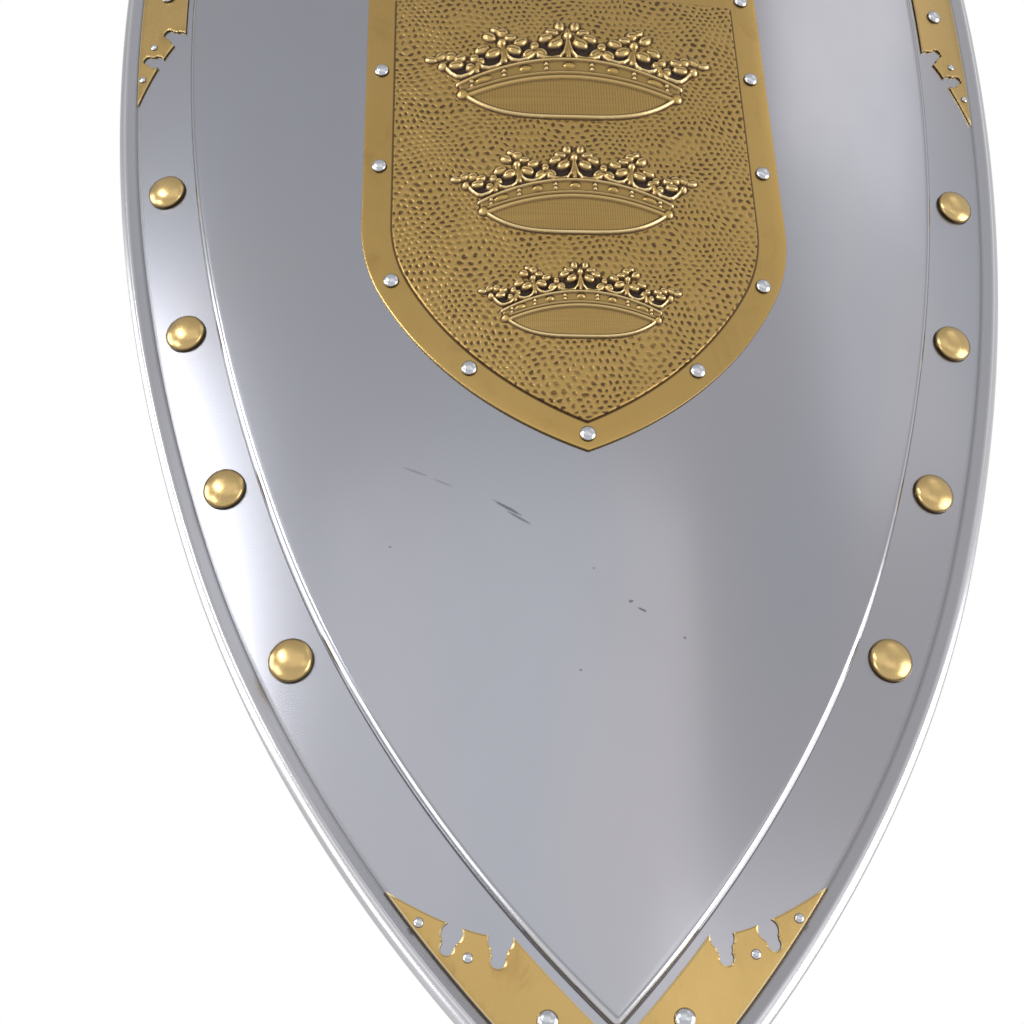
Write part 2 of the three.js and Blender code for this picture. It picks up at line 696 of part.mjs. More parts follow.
function crownBodies(size, height) {
  const ridgeTop = panelFront + crownRidgeHeight;
  const oval = raisedBody(ovalOutline(0), reliefFoot, ridgeTop);
  const ovalFloor = raisedBody(ovalOutline(crownRidgeWidth), panelFront + crownFloorHeight, ridgeTop + cutOverrun);
  const sided = (placeShares) => placeShares.flatMap(([x, y], i) =>
    (x === 0 ? [0] : [-1, 1]).map((side) => ({
      place: new THREE.Vector2(side * x * crownHalfWidth, y * crownHalfWidth),
      side,
      i,
    })));
  const bodies = [
    cutAll(oval, [ovalFloor]),
    raisedBody(bandOutline(-crownRidgeWidth / 2, crownBandWidth), reliefFoot, panelFront + crownBandHeight),
    raisedBody(bandOutline(crownBandWidth - crownRidgeWidth, crownBandWidth), reliefFoot, ridgeTop),
    ...crownJewelPlaceShares.map((share) => boss(
      overOval(share, (crownBandWidth - crownRidgeWidth) / 2),
      crownJewelRadius * crownJewelStretchShare,
      crownJewelRadius,
      crownJewelHeight,
      -Math.asin((share * crownHalfWidth) / ovalRadius),
    )),
    ...sided(crownFlowerPlaceShares).flatMap(({ place, side, i }) =>
      flowerBodies(place, crownFlowerSizeShares[i], side * crownFlowerLeans[i])),
    ...sided(crownPearlPlaceShares).map(({ place }) =>
      boss(place, crownBeadRadius, crownBeadRadius, crownRidgeHeight, 0)),
  ];
  return bodies.map((body) => body.scale(size, size, 1).translate(0, height, 0));
}

// Escutcheon: border and panel in one pressed sheet, hollow behind the panel, with the crowns raised on it
function escutcheonPlate() {
  const ring = (form, offset, forward) => ({ form, offset, forward });
  const panelBack = panelFront - escutcheonThickness;
  const rings = [
    ring(panelForm, -edgeBevel, panelFront),
    ring(panelForm, 0, panelFront - edgeBevel),
    ring(panelForm, edgeBevel, escutcheonFront),
    ring(escutcheonForm, -edgeBevel, escutcheonFront),
    ring(escutcheonForm, 0, escutcheonFront - edgeBevel),
    ring(escutcheonForm, 0, escutcheonBack),
    ring(panelForm, edgeBevel - escutcheonCornerRadius / 2, escutcheonBack),
    ring(panelForm, -escutcheonCornerRadius / 2, panelBack),
  ];
  const crowns = crownSizeShares.map((size, i) =>
    bentBody(joinAll(crownBodies(size, escutcheonTipHeight + crownHeightShares[i] * escutcheonHeight)), []));
  const plate = joinAll([bentPlate(rings), ...crowns]);
  return pierced(plate, shankHoles(borderRivetPlaces), escutcheonBack, escutcheonFront);
}

// Corners where a mount sits: an arm on each side, going round anticlockwise, and the rounding between them
const bottomCorner = {
  arms: [(reach, out) => mirrored(fromPoint(fieldForm, reach, out)), (reach, out) => fromPoint(fieldForm, reach, out)],
  nearReach: (form) => (form.tipSweep - form.filletSweep) * form.lowerRadius,
  rounding: (form, out) => arcPoints(form.tipFillet, form.cornerRadius + out,
    form.filletSweep - Math.PI, -form.filletSweep, 2 * filletSteps),
};
const topRightCorner = {
  arms: [(reach, out) => downFromCorner(fieldForm, reach, out), (reach, out) => inFromCorner(fieldForm, reach, out)],
  nearReach: (form) => form.cornerRadius,
  rounding: (form, out) => arcPoints(form.cornerFillet, form.cornerRadius + out, 0, Math.PI / 2, filletSteps),
};
const topLeftCorner = {
  arms: [...topRightCorner.arms].reverse().map((arm) => (reach, out) => mirrored(arm(reach, out))),
  nearReach: topRightCorner.nearReach,
  rounding: (form, out) => topRightCorner.rounding(form, out).map(mirrored).reverse(),
};
const corners = { bottom: bottomCorner, top_left: topLeftCorner, top_right: topRightCorner };
const mountRivetPlaces = Object.values(corners).flatMap(({ arms }) => arms.map((arm) => arm(mountRivetReach, bandMiddle)));

function mountOutline({ arms, nearReach, rounding }) {
  const outer = bandWidth - mountOuterGap;
  const inner = mountInnerAcross;
  const line = (arm, form, farReach, out) => {
    const near = nearReach(form);
    const reaches = Array.from({ length: armSteps }, (_, i) => farReach + ((near - farReach) * i) / armSteps);
    return reaches.map((reach) => arm(reach, out));
  };
  const end = (arm) => {
    const [tip, root] = [arm(mountOuterReach, outer), arm(mountInnerReach, inner)];
    const middle = arm((mountOuterReach + mountInnerReach) / 2 - mountEndSag, (outer + inner) / 2);
    const control = middle.multiplyScalar(2).sub(tip.clone().lerp(root, 1 / 2));
    return new THREE.QuadraticBezierCurve(tip, control, root).getPoints(armSteps + 1).slice(1, -1);
  };
  const [first, second] = arms;
  return [
    ...line(first, rimForm, mountOuterReach, outer),
    ...rounding(rimForm, outer),
    ...line(second, rimForm, mountOuterReach, outer).reverse(),
    ...end(second),
    ...line(second, fieldForm, mountInnerReach, inner),
    ...rounding(fieldForm, inner).reverse(),
    ...line(first, fieldForm, mountInnerReach, inner).reverse(),
    ...end(first).reverse(),
  ];
}

// Sheet brass mount, its ends pierced by keyholes that open to the slanted edge
function cornerMount(corner) {
  const rounds = [
    [outerMouthReach, outerMouthAcross, outerMouthRadius],
    [outerKeyReach, outerKeyAcross, keyRadius],
    [innerMouthReach, innerMouthAcross, innerMouthRadius],
    [innerKeyReach, innerKeyAcross, keyRadius],
  ];
  const keyholes = corner.arms.flatMap((arm) => rounds.map(([reach, across, radius]) =>
    ({ place: arm(reach, across), radius, sides: keySides })));
  const shanks = shankHoles(corner.arms.map((arm) => arm(mountRivetReach, bandMiddle)));
  const plate = bentBody(raisedBody(mountOutline(corner), mountBack, mountFront));
  return pierced(plate, [...keyholes, ...shanks], mountBack, mountFront);
}

// A rivet seen from the side: hammered tail, shank, and a domed or flat head
function rivetBody({ headRadius, headHeight, headBack, tailFront, domed, sides }) {
  const dome = Array.from({ length: domeSteps }, (_, i) => {
    const angle = ((i / domeSteps) * Math.PI) / 2;
    return [headRadius * Math.cos(angle), headBack + headHeight * Math.sin(angle)];
  });
  const flat = [[headRadius, headBack], [headRadius, headBack + headHeight]];
  return turnedBody([
    [0, tailFront - tailHeight],
    [tailRadius, tailFront],
    [shankRadius, tailFront],
    [shankRadius, headBack],
    ...(domed ? dome : flat),
    [0, headBack + headHeight],
  ], sides);
}

// Strap seen from the side: a flat tab, a bend away from the shield, a straight leg, a round crown, and back again.
// The crown has an odd number of flats, so the middle one faces straight back.
function strapOutline(span, standoff) {
  const half = span / 2;
  const [sine, cosine] = [Math.sin(strapLegAngle), Math.cos(strapLegAngle)];
  const riseShare = (1 - cosine) / sine;
  const runLeft = half - strapRootRadius * sine;
  const legLength = (standoff - strapRootRadius * (1 - cosine) - runLeft * riseShare) / (sine - cosine * riseShare);
  const crownRadius = (runLeft - legLength * cosine) / sine;
  const middleSeat = baseBack - strapSeatGap - strapThickness / 2;
  const line = (back) => [
    new THREE.Vector2(-half - strapTabLength, middleSeat - back),
    ...arcPoints(new THREE.Vector2(-half, middleSeat - strapRootRadius), strapRootRadius - back,
      Math.PI / 2, Math.PI / 2 - strapLegAngle, bendSteps),
    ...arcPoints(new THREE.Vector2(0, middleSeat - standoff + crownRadius), crownRadius + back,
      -Math.PI / 2 - strapLegAngle, -Math.PI / 2 + strapLegAngle, bendSteps + 2),
    ...arcPoints(new THREE.Vector2(half, middleSeat - strapRootRadius), strapRootRadius - back,
      Math.PI / 2 + strapLegAngle, Math.PI / 2, bendSteps),
    new THREE.Vector2(half + strapTabLength, middleSeat - back),
  ];
  return [...line(strapThickness / 2), ...line(-strapThickness / 2).reverse()];
}

function addStrap(name, offset, width, span, standoff) {
  const holes = [-1, 1].map((side) => new THREE.Vector2(0, (side * (span + strapTabLength)) / 2));
  const strap = drilled(foldedBody(strapOutline(span, standoff), width), holes, strapBack, baseBack);
  addStanding(name, strap, leather, new THREE.Vector2(offset, strapLineHeight));
  const rivet = rivetBody({
    headRadius: hiddenHeadRadius,
    headHeight: hiddenHeadHeight,
    headBack: seatGap,
    tailFront: washerBack - seatGap,
    domed: false,
    sides: rivetSides,
  });
  const bore = (shankRadius + shankClearance) / Math.cos(Math.PI / rivetSides);
  const washer = turnedBody([
    [bore, washerBack],
    [washerRadius, washerBack],
    [washerRadius, washerBack + washerThickness],
    [bore, washerBack + washerThickness],
    [bore, washerBack],
  ], rivetSides);
  ['lower', 'upper'].forEach((end, i) => {
    const place = new THREE.Vector2(offset, strapLineHeight + holes[i].y);
    addStanding(`${name}_rivet_${end}`, rivet, steel, place);
    addStanding(`${name}_washer_${end}`, washer, steel, place);
  });
}

// Clip seen from the side: a leaf on the base sheet, an eye under the ring's bar, and a leaf back up over the first
function clipOutline() {
  const eyeMiddle = clipEyeRadius + clipThickness / 2;
  const outerLeaf = clipFront - (3 * clipThickness) / 2 - clipLeafSlit;
  const [sine, cosine] = [Math.sin(clipLeaveAngle), Math.cos(clipLeaveAngle)];
  const slope = (outerLeaf - ringForward + eyeMiddle * cosine - clipBendRadius * (1 - cosine)) / sine;
  const bendCentre = new THREE.Vector2(sine, -cosine).multiplyScalar(eyeMiddle + clipBendRadius);
  bendCentre.add(new THREE.Vector2(cosine, sine).multiplyScalar(slope));
  const line = (out) => [
    new THREE.Vector2(clipLeafLength, eyeMiddle + out),
    ...arcPoints(new THREE.Vector2(0, 0), eyeMiddle + out, Math.PI / 2, (3 * Math.PI) / 2 + clipLeaveAngle, curlSteps),
    ...arcPoints(bendCentre, clipBendRadius - out, Math.PI / 2 + clipLeaveAngle, Math.PI / 2, filletSteps),
    new THREE.Vector2(clipLeafLength, bendCentre.y + clipBendRadius - out),
  ];
  const outline = [...line(clipThickness / 2), ...line(-clipThickness / 2).reverse()];
  return outline.map((point) => point.add(new THREE.Vector2(0, ringForward)));
}

// Ring seen from the front: a straight bar, rounded corners, short legs and a half circle
function ringPath() {
  const inner = ringHalfWidth - ringCornerRadius;
  return [
    ...arcPoints(new THREE.Vector2(0, -ringLegLength), ringHalfWidth, -Math.PI, 0, 2 * bendSteps),
    ...arcPoints(new THREE.Vector2(inner, -ringCornerRadius), ringCornerRadius, 0, Math.PI / 2, filletSteps + 1),
    ...arcPoints(new THREE.Vector2(-inner, -ringCornerRadius), ringCornerRadius, Math.PI / 2, Math.PI, filletSteps + 1),
  ];
}

addMesh('shield_plate', basePlate(), steel);
addMesh('field_plate', fieldPlate(), steel);
addMesh('escutcheon_plate', escutcheonPlate(), brass);

const borderRivet = rivetBody({
  headRadius: borderRivetRadius,
  headHeight: borderRivetHeight,
  headBack: escutcheonFront + seatGap,
  tailFront: baseBack - seatGap,
  domed: true,
  sides: rivetSides,
});
borderRivetPlaces.forEach((place, i) => addStanding(`escutcheon_rivet_${i + 1}`, borderRivet, silver, place));

const stud = rivetBody({
  headRadius: studRadius,
  headHeight: studHeight,
  headBack: seatGap,
  tailFront: baseBack - seatGap,
  domed: true,
  sides: studSides,
});
sideStudPlaces.forEach((place, i) => {
  addStanding(`band_stud_left_${i + 1}`, stud, brass, mirrored(place));
  addStanding(`band_stud_right_${i + 1}`, stud, brass, place);
});
topStudPlaces.forEach((place, i) => addStanding(`band_stud_top_${i + 1}`, stud, brass, place));

const mountRivet = rivetBody({
  headRadius: mountRivetRadius,
  headHeight: mountRivetHeight,
  headBack: mountFront + seatGap,
  tailFront: baseBack - seatGap,
  domed: true,
  sides: rivetSides,
});
Object.entries(corners).forEach(([where, corner]) => {
  addMesh(`corner_mount_${where}`, cornerMount(corner), brass);
  corner.arms.forEach((arm, i) => {
    addStanding(`mount_rivet_${where}_${i + 1}`, mountRivet, silver, arm(mountRivetReach, bandMiddle));
  });
});

addStrap('forearm_strap', forearmStrapOffset, forearmStrapWidth, forearmStrapSpan, forearmStrapStandoff);
addStrap('hand_grip', -gripOffset, gripWidth, gripSpan, gripStandoff);

const clipHoles = clipRivetPlaces.map((place) => new THREE.Vector2(place.x, place.y - ringHeight));
const clip = drilled(foldedBody(clipOutline(), clipWidth), clipHoles, clipBack, clipFront);
addStanding('hanger_clip', clip, steel, new THREE.Vector2(0, ringHeight));
const clipRivet = rivetBody({
  headRadius: hiddenHeadRadius,
  headHeight: hiddenHeadHeight,
  headBack: seatGap,
  tailFront: clipBack - seatGap,
  domed: false,
  sides: rivetSides,
});
['left', 'right'].forEach((side, i) => {
  const rivet = addStanding(`hanger_clip_rivet_${side}`, clipRivet, steel, clipRivetPlaces[i]);
  rivet.rotation.z = 0;
});
const ring = addMesh('hanging_ring', wireLoop(ringPath(), ringWireRadius, wireSides).rotateX(Math.PI / 2), steel);
ring.position.set(0, -ringForward, ringHeight);

// The part's origin is the axis of the hanging ring
shield.position.set(0, ringForward, -ringHeight);

export default shield;
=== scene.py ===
"""A steel heater shield with a brass escutcheon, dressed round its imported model.

Shapes are drawn flat in millimetres as (along, up, forward), as the sheets were before bending: along the curve from
the middle line, up from the point of the raised field, and forward from the face of the base sheet.
"""

import math
from types import SimpleNamespace

import bpy
import numpy as np
from mathutils import Matrix, Vector
from mathutils.geometry import delaunay_2d_cdt


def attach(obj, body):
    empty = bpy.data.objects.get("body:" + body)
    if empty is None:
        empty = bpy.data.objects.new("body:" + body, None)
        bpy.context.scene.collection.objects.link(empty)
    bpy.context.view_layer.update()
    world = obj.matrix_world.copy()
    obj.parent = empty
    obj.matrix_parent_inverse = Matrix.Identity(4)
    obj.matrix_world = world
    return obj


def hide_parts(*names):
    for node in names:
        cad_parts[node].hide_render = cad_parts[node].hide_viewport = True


bl_info = {
    "name": "Heater shield",
    "version": (1, 0, 0),
    "blender": (4, 5, 0),
    "location": "View3D > Sidebar > Shield",
    "description": "Builds a steel heater shield with a brass escutcheon, mounts, studs, straps and a ring",
    "category": "Add Mesh",
}

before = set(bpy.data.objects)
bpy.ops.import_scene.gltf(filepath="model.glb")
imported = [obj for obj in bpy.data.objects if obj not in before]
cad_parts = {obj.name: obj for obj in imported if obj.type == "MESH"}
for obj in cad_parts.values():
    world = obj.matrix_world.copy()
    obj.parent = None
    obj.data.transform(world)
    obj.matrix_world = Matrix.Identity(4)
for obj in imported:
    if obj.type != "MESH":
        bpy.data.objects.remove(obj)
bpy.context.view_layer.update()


def length(title, value, told):
    """A size property in metres, from millimetres."""
    return bpy.props.FloatProperty(name=title, description=told, default=value / 1000, precision=5, unit="LENGTH")


def angle(title, degrees, told):
    """An angle property, from degrees."""
    return bpy.props.FloatProperty(name=title, description=told, default=math.radians(degrees), subtype="ANGLE")


def colour(title, value, told):
    """A colour property, in linear light."""
    return bpy.props.FloatVectorProperty(
        name=title, description=told, default=value, size=3, min=0, max=1, subtype="COLOR"
    )


def number(title, value, told):
    """A plain number."""
    return bpy.props.FloatProperty(name=title, description=told, default=value)


class PlateSizes(bpy.types.PropertyGroup):
    """Base sheet, rolled rim and raised field"""

    bend_radius: length("Bend radius", 770, "Radius of the shield's curve")
    base_thickness: length("Sheet thickness", 1.2, "Thickness of the base sheet")
    band_width: length("Band width", 32, "Flat band between the field and the rim")
    rim_diameter: length("Rim diameter", 10.2, "Outside diameter of the rolled rim")
    rim_corner: length("Rim corner", 10, "Rounding of the band's corners")
    slot_angle: angle("Slot angle", 35, "Opening of the rolled rim at the back")
    rim_lean: angle("Rim lean", 92, "Where the rim's slanted inner side meets its round")
    half_width: length("Field half width", 210.5, "Half the width of the raised field")
    height: length("Field height", 586.5, "From the field's point to its top edge")
    upper_radius: length("Upper radius", 1025.03, "Arc of the field's side below the shoulder")
    lower_radius: length("Lower radius", 604.04, "Arc of the field's side down to the point")
    corner: length("Field corner", 3.2, "Rounding of the field's corners")
    rise: length("Field rise", 4.5, "How far the field stands forward")
    shoulder: length("Shoulder", 3.9, "Rounding of the field's front edge")
    seat_gap: length("Seat gap", 0.3, "Gap that touching pieces keep")


class EscutcheonSizes(bpy.types.PropertyGroup):
    """Brass escutcheon with its raised panel"""

    half_width: length("Half width", 107, "Half the width of the escutcheon")
    point: length("Point height", 249.7, "Height of its point above the field's point")
    height: length("Height", 298.8, "From its point to its top edge")
    shoulder: length("Shoulder height", 131.8, "Where the straight sides end, above the point")
    thickness: length("Thickness", 1.2, "Sheet thickness")
    side_border: length("Side border", 15.5, "Width of the border at the sides")
    top_border: length("Top border", 15.7, "Width of the border at the top")
    point_border: length("Point border", 14.8, "Height of the border at the point")
    panel_rise: length("Panel rise", 1.4, "How far the panel stands above the border")
    corner: length("Corner", 2, "Rounding of the corners")
    upper_radius: length("Upper radius", 98, "Arc of the side below the shoulder")
    lower_radius: length("Lower radius", 185, "Arc of the side down to the point")
    panel_upper: length("Panel upper radius", 86, "Arc of the panel's side below the shoulder")
    panel_lower: length("Panel lower radius", 175, "Arc of the panel's side down to the point")
    rivet_inset: length("Rivet inset", 8.4, "Distance of the rivets from the edge")
    rivet_drop: length("Rivet drop", 57.5, "From a corner's rivet down to the next")
    rivet_pitch: length("Rivet pitch", 64.7, "From that rivet down to the third")
    low_rivet: length("Low rivet", 71.3, "Run along the side from the point to its first rivet")
    next_rivet: length("Next rivet", 139.1, "Run along the side from the point to its second rivet")


class FastenerSizes(bpy.types.PropertyGroup):
    """Rivets, studs and pins"""

    stud_radius: length("Stud radius", 10.1, "Radius of the domed brass studs")
    stud_height: length("Stud height", 5, "Height of the domed brass studs")
    stud_lip: length("Stud lip", 0.7, "How far a stud's edge rolls under")
    first_stud: length("First stud", 200.6, "Run along the side from the point to the band's first stud")
    last_stud: length("Last stud", 163, "Run from the band's last stud on up to the corner")
    stud_pitch: length("Top stud pitch", 93, "Distance between the studs at the top")
    border_radius: length("Border rivet radius", 3.9, "Radius of the escutcheon's rivets")
    border_height: length("Border rivet height", 2.4, "Height of the escutcheon's rivets")
    mount_radius: length("Mount rivet radius", 4.3, "Radius of the corner mounts' rivets")
    mount_height: length("Mount rivet height", 2.8, "Height of the corner mounts' rivets")
    mount_reach: length("Mount rivet reach", 21, "Distance of a mount's rivets from the corner")
    rivet_lip: length("Rivet lip", 0.35, "How far a domed rivet's edge rolls under")
    pin_radius: length("Pin radius", 2.05, "Radius of the corner mounts' small pins")
    pin_height: length("Pin height", 1.3, "Height of the corner mounts' small pins")
    shank_radius: length("Shank radius", 1.6, "Radius of every rivet's shank")
    tail_radius: length("Tail radius", 3, "Radius of a rivet's hammered tail")
    tail_height: length("Tail height", 1.6, "Height of a rivet's hammered tail")
    head_radius: length("Hidden head radius", 5, "Radius of the flat heads under the field")
    head_height: length("Hidden head height", 1.6, "Height of the flat heads under the field")
    washer_radius: length("Washer radius", 7, "Outside radius of the straps' washers")
    washer_height: length("Washer thickness", 1, "Thickness of the straps' washers")
    washer_play: length("Washer play", 0.35, "Gap between a washer and the shank in it")


class MountSizes(bpy.types.PropertyGroup):
    """Pierced corner mounts"""

    thickness: length("Thickness", 1, "Sheet thickness of the corner mounts")
    inner_across: length("Inner edge", 4, "Distance of the inner edge from the field")
    outer_gap: length("Outer gap", 0.5, "Gap between the outer edge and the rim's crease")
    inner_reach: length("Inner reach", 52, "How far the inner edge runs from the corner")
    outer_reach: length("Outer reach", 97, "How far the outer edge runs from the corner")
    end_sag: length("End sag", 5.5, "How far the slanted end is hollowed")
    bevel: length("Bevel", 0.7, "Width of the bright bevel on every edge")
    outer_bevel: length("Outer bevel", 0.16, "Depth of the bevel on the outer edge")
    inner_bevel: length("Inner bevel", 0.3, "Depth of the bevel on the other edges")


class StrapSizes(bpy.types.PropertyGroup):
    """Leather straps on the back"""

    thickness: length("Leather thickness", 3.2, "Thickness of the straps")
    edge: length("Edge rounding", 1.1, "Rounding of the straps' edges")
    tab: length("Tab length", 38, "Length of the riveted tabs")
    root: length("Root radius", 13.6, "Bend where a strap leaves the shield")
    leg_angle: angle("Leg angle", 68, "How steeply a strap leaves the shield")
    line_height: length("Line height", 351, "Height of the middle of both straps")
    arm_offset: length("Forearm strap offset", 72.5, "Distance of the forearm strap from the middle line")
    arm_width: length("Forearm strap width", 36, "Width of the forearm strap")
    arm_span: length("Forearm strap span", 146, "Distance between the forearm strap's roots")
    arm_standoff: length("Forearm strap standoff", 80, "How far the forearm strap stands off")
    grip_offset: length("Grip offset", -72.5, "Distance of the hand grip from the middle line")
    grip_width: length("Grip width", 30, "Width of the hand grip")
    grip_span: length("Grip span", 106, "Distance between the hand grip's roots")
    grip_standoff: length("Grip standoff", 52, "How far the hand grip stands off")
    stitch: length("Stitch length", 4.2, "Length of one stitch")
    stitch_inset: length("Stitch inset", 4, "Distance of the stitches from the straps' edges")
    thread: length("Thread radius", 0.45, "Radius of the thread")
    thread_stand: length("Thread stand", 0.42, "How far the thread stands out of the leather")


class RingSizes(bpy.types.PropertyGroup):
    """Hanging ring and its clip"""

    height: length("Ring height", 558.5, "Height of the ring's bar")
    forward: length("Ring forward", -5.2, "Where the ring's bar lies behind the base sheet")
    wire: length("Wire radius", 2, "Radius of the ring's wire")
    half_width: length("Ring half width", 17, "Half the ring's width")
    leg: length("Leg length", 14, "Length of the ring's straight legs")
    corner: length("Ring corner", 5, "Rounding of the ring's upper corners")
    clip_width: length("Clip width", 22, "Width of the folded clip")
    clip_thickness: length("Clip thickness", 1.2, "Sheet thickness of the clip")
    clip_leaf: length("Leaf length", 21, "How far the clip's leaves run above the bar")
    clip_slit: length("Leaf slit", 0.4, "Gap between the clip's two leaves")
    clip_bend: length("Clip bend", 1.8, "Bend where the clip's outer leaf turns up")
    clip_gap: length("Clip gap", 0.5, "Gap between the base sheet and the clip")
    eye_wrap: angle("Eye wrap", 50, "How far the eye goes on past its bottom")
    clip_spacing: length("Rivet spacing", 14, "Distance between the clip's rivets")
    clip_inset: length("Rivet inset", 5.5, "Distance of the clip's rivets from the leaves' ends")


class Finishes(bpy.types.PropertyGroup):
    """Colours of the metals and the leather"""

    steel: colour("Steel", (0.298, 0.292, 0.314), "Satin steel")
    steel_cool: colour("Cool steel", (0.270, 0.285, 0.325), "Bluish clouds in the steel")
    steel_dull: colour("Dull steel", (0.23, 0.23, 0.25), "Small dull patches in the steel")
    scuff: colour("Scuff", (0.05, 0.05, 0.055), "Dark scuffs on the field")
    # Rubbed steel is wear from handling and also a painted sheen on the rim and on the field's shoulder, where
    # reflections fall
    rubbed: colour("Rubbed steel", (0.46, 0.46, 0.48), "Steel polished bright by handling")
    # Grime is real dirt and also painted shade, in creases, at the field's foot and at the feet of rivet heads
    grime_and_shade: colour("Grime", (0.050, 0.034, 0.022), "Dirt in creases")
    brass: colour("Brass", (0.365, 0.243, 0.086), "Polished brass")
    brass_warm: colour("Warm brass", (0.33, 0.21, 0.066), "Warmer clouds in the brass")
    brass_pale: colour("Pale brass", (0.52, 0.39, 0.19), "Brass worn pale")
    brass_deep: colour("Deep brass", (0.30, 0.19, 0.062), "Brass between the crowns")
    crest: colour("Crests", (0.70, 0.55, 0.30), "Brass rubbed bright on edges and on the crowns' tops")
    tarnish: colour("Tarnish", (0.20, 0.115, 0.040), "Brown patches on the brass")
    patina: colour("Patina", (0.050, 0.030, 0.020), "Dark patina in the recesses")
    shade: colour("Shade", (0.016, 0.013, 0.018), "Nearly black patina in the crowns' pockets")
    silver: colour("Silver", (0.42, 0.43, 0.46), "Plated rivets")
    silver_dull: colour("Dull silver", (0.30, 0.31, 0.33), "Dull spots on the rivets")
    leather: colour("Leather", (0.085, 0.038, 0.017), "Waxed leather")
    leather_worn: colour("Worn leather", (0.13, 0.062, 0.028), "Leather rubbed paler")
    leather_dark: colour("Dark leather", (0.025, 0.012, 0.007), "Leather in its pores and at its edges")
    thread: colour("Thread", (0.30, 0.22, 0.13), "Waxed thread")
    thread_dark: colour("Dark thread", (0.16, 0.11, 0.06), "Between the thread's strands")


class StageSizes(bpy.types.PropertyGroup):
    """Camera and studio"""

    lens: number("Focal length", 48.811, "Focal length in millimetres")
    eye: bpy.props.FloatVectorProperty(
        name="Eye", description="Place of the camera", default=(-0.072088, -0.563509, -0.616381), size=3, unit="LENGTH"
    )
    pitch: angle("Pitch", 26.473, "How far the camera looks up")
    yaw: angle("Yaw", -3.7382, "How far the camera turns from the shield's middle line")
    roll: angle("Roll", -1.3303, "How far the camera leans")
    floor_height: length("Floor height", -1500, "Height of the floor")
    floor_half: length("Floor half width", 8000, "Half the width of the floor")
    daylight: number("Daylight", 0.6, "Strength of the white surroundings")
    floor_glow: number("Floor glow", 1.12, "Strength of the white that cameras and mirrors see in the floor")
    floor_white: number("Floor whiteness", 0.75, "Share of that white, beside the floor's own shaded colour")
    paper: colour("Paper", (0.9, 0.9, 0.9), "Floor and background")


SIZE_GROUPS = {
    "shield_plate_sizes": PlateSizes,
    "shield_escutcheon_sizes": EscutcheonSizes,
    "shield_fastener_sizes": FastenerSizes,
    "shield_mount_sizes": MountSizes,
    "shield_strap_sizes": StrapSizes,
    "shield_ring_sizes": RingSizes,
}
OTHER_GROUPS = {"shield_finishes": Finishes, "shield_stage": StageSizes}


def sizes(scene):
    """All sizes in millimetres and angles in radians, one namespace per property group."""
    found = {}
    for key, group in SIZE_GROUPS.items():
        held = getattr(scene, key)
        values = {}
        for name in group.__annotations__:
            unit = held.bl_rna.properties[name].unit
            values[name] = getattr(held, name) * (1000 if unit == "LENGTH" else 1)
        found[key.replace("shield_", "").replace("_sizes", "")] = SimpleNamespace(**values)
    return SimpleNamespace(**found)


# Shader maths


class Signal:
    """A socket that takes part in Python expressions. Each operation adds its Math node."""

    def __init__(self, graph, socket):
        self.graph = graph
        self.socket = socket

    def maths(self, operation, *others, clamp=False):
        """This value and the others through one Math node."""
        node = self.graph.node("ShaderNodeMath", {"operation": operation, "use_clamp": clamp}, [self, *others])
        return node.out()

    def __add__(self, other):
        return self.maths("ADD", other)

    def __sub__(self, other):
        return self.maths("SUBTRACT", other)

    def __rsub__(self, other):
        node = self.graph.node("ShaderNodeMath", {"operation": "SUBTRACT"}, [other, self])
        return node.out()

    def __mul__(self, other):
        return self.maths("MULTIPLY", other)

    def __truediv__(self, other):
        return self.maths("DIVIDE", other)

    __radd__ = __add__
    __rmul__ = __mul__

    def clamped(self):
        """Held between nothing and one."""
        return self.maths("ADD", 0.0, clamp=True)

    def most(self, other):
        """The larger of two values."""
        return self.maths("MAXIMUM", other)

    def between(self, low, high):
        """Rises smoothly from 0 at low to 1 at high."""
        node = self.graph.node(
            "ShaderNodeMapRange",
            {"interpolation_type": "SMOOTHSTEP"},
            {"Value": self, "From Min": low, "From Max": high},
        )
        return node.out("Result")


class Made:
    """A node that has been made, and its sockets."""

    def __init__(self, graph, node):
        self.graph = graph
        self.node = node

    def out(self, name=0):
        """One of the node's outputs."""
        return Signal(self.graph, self.node.outputs[name])


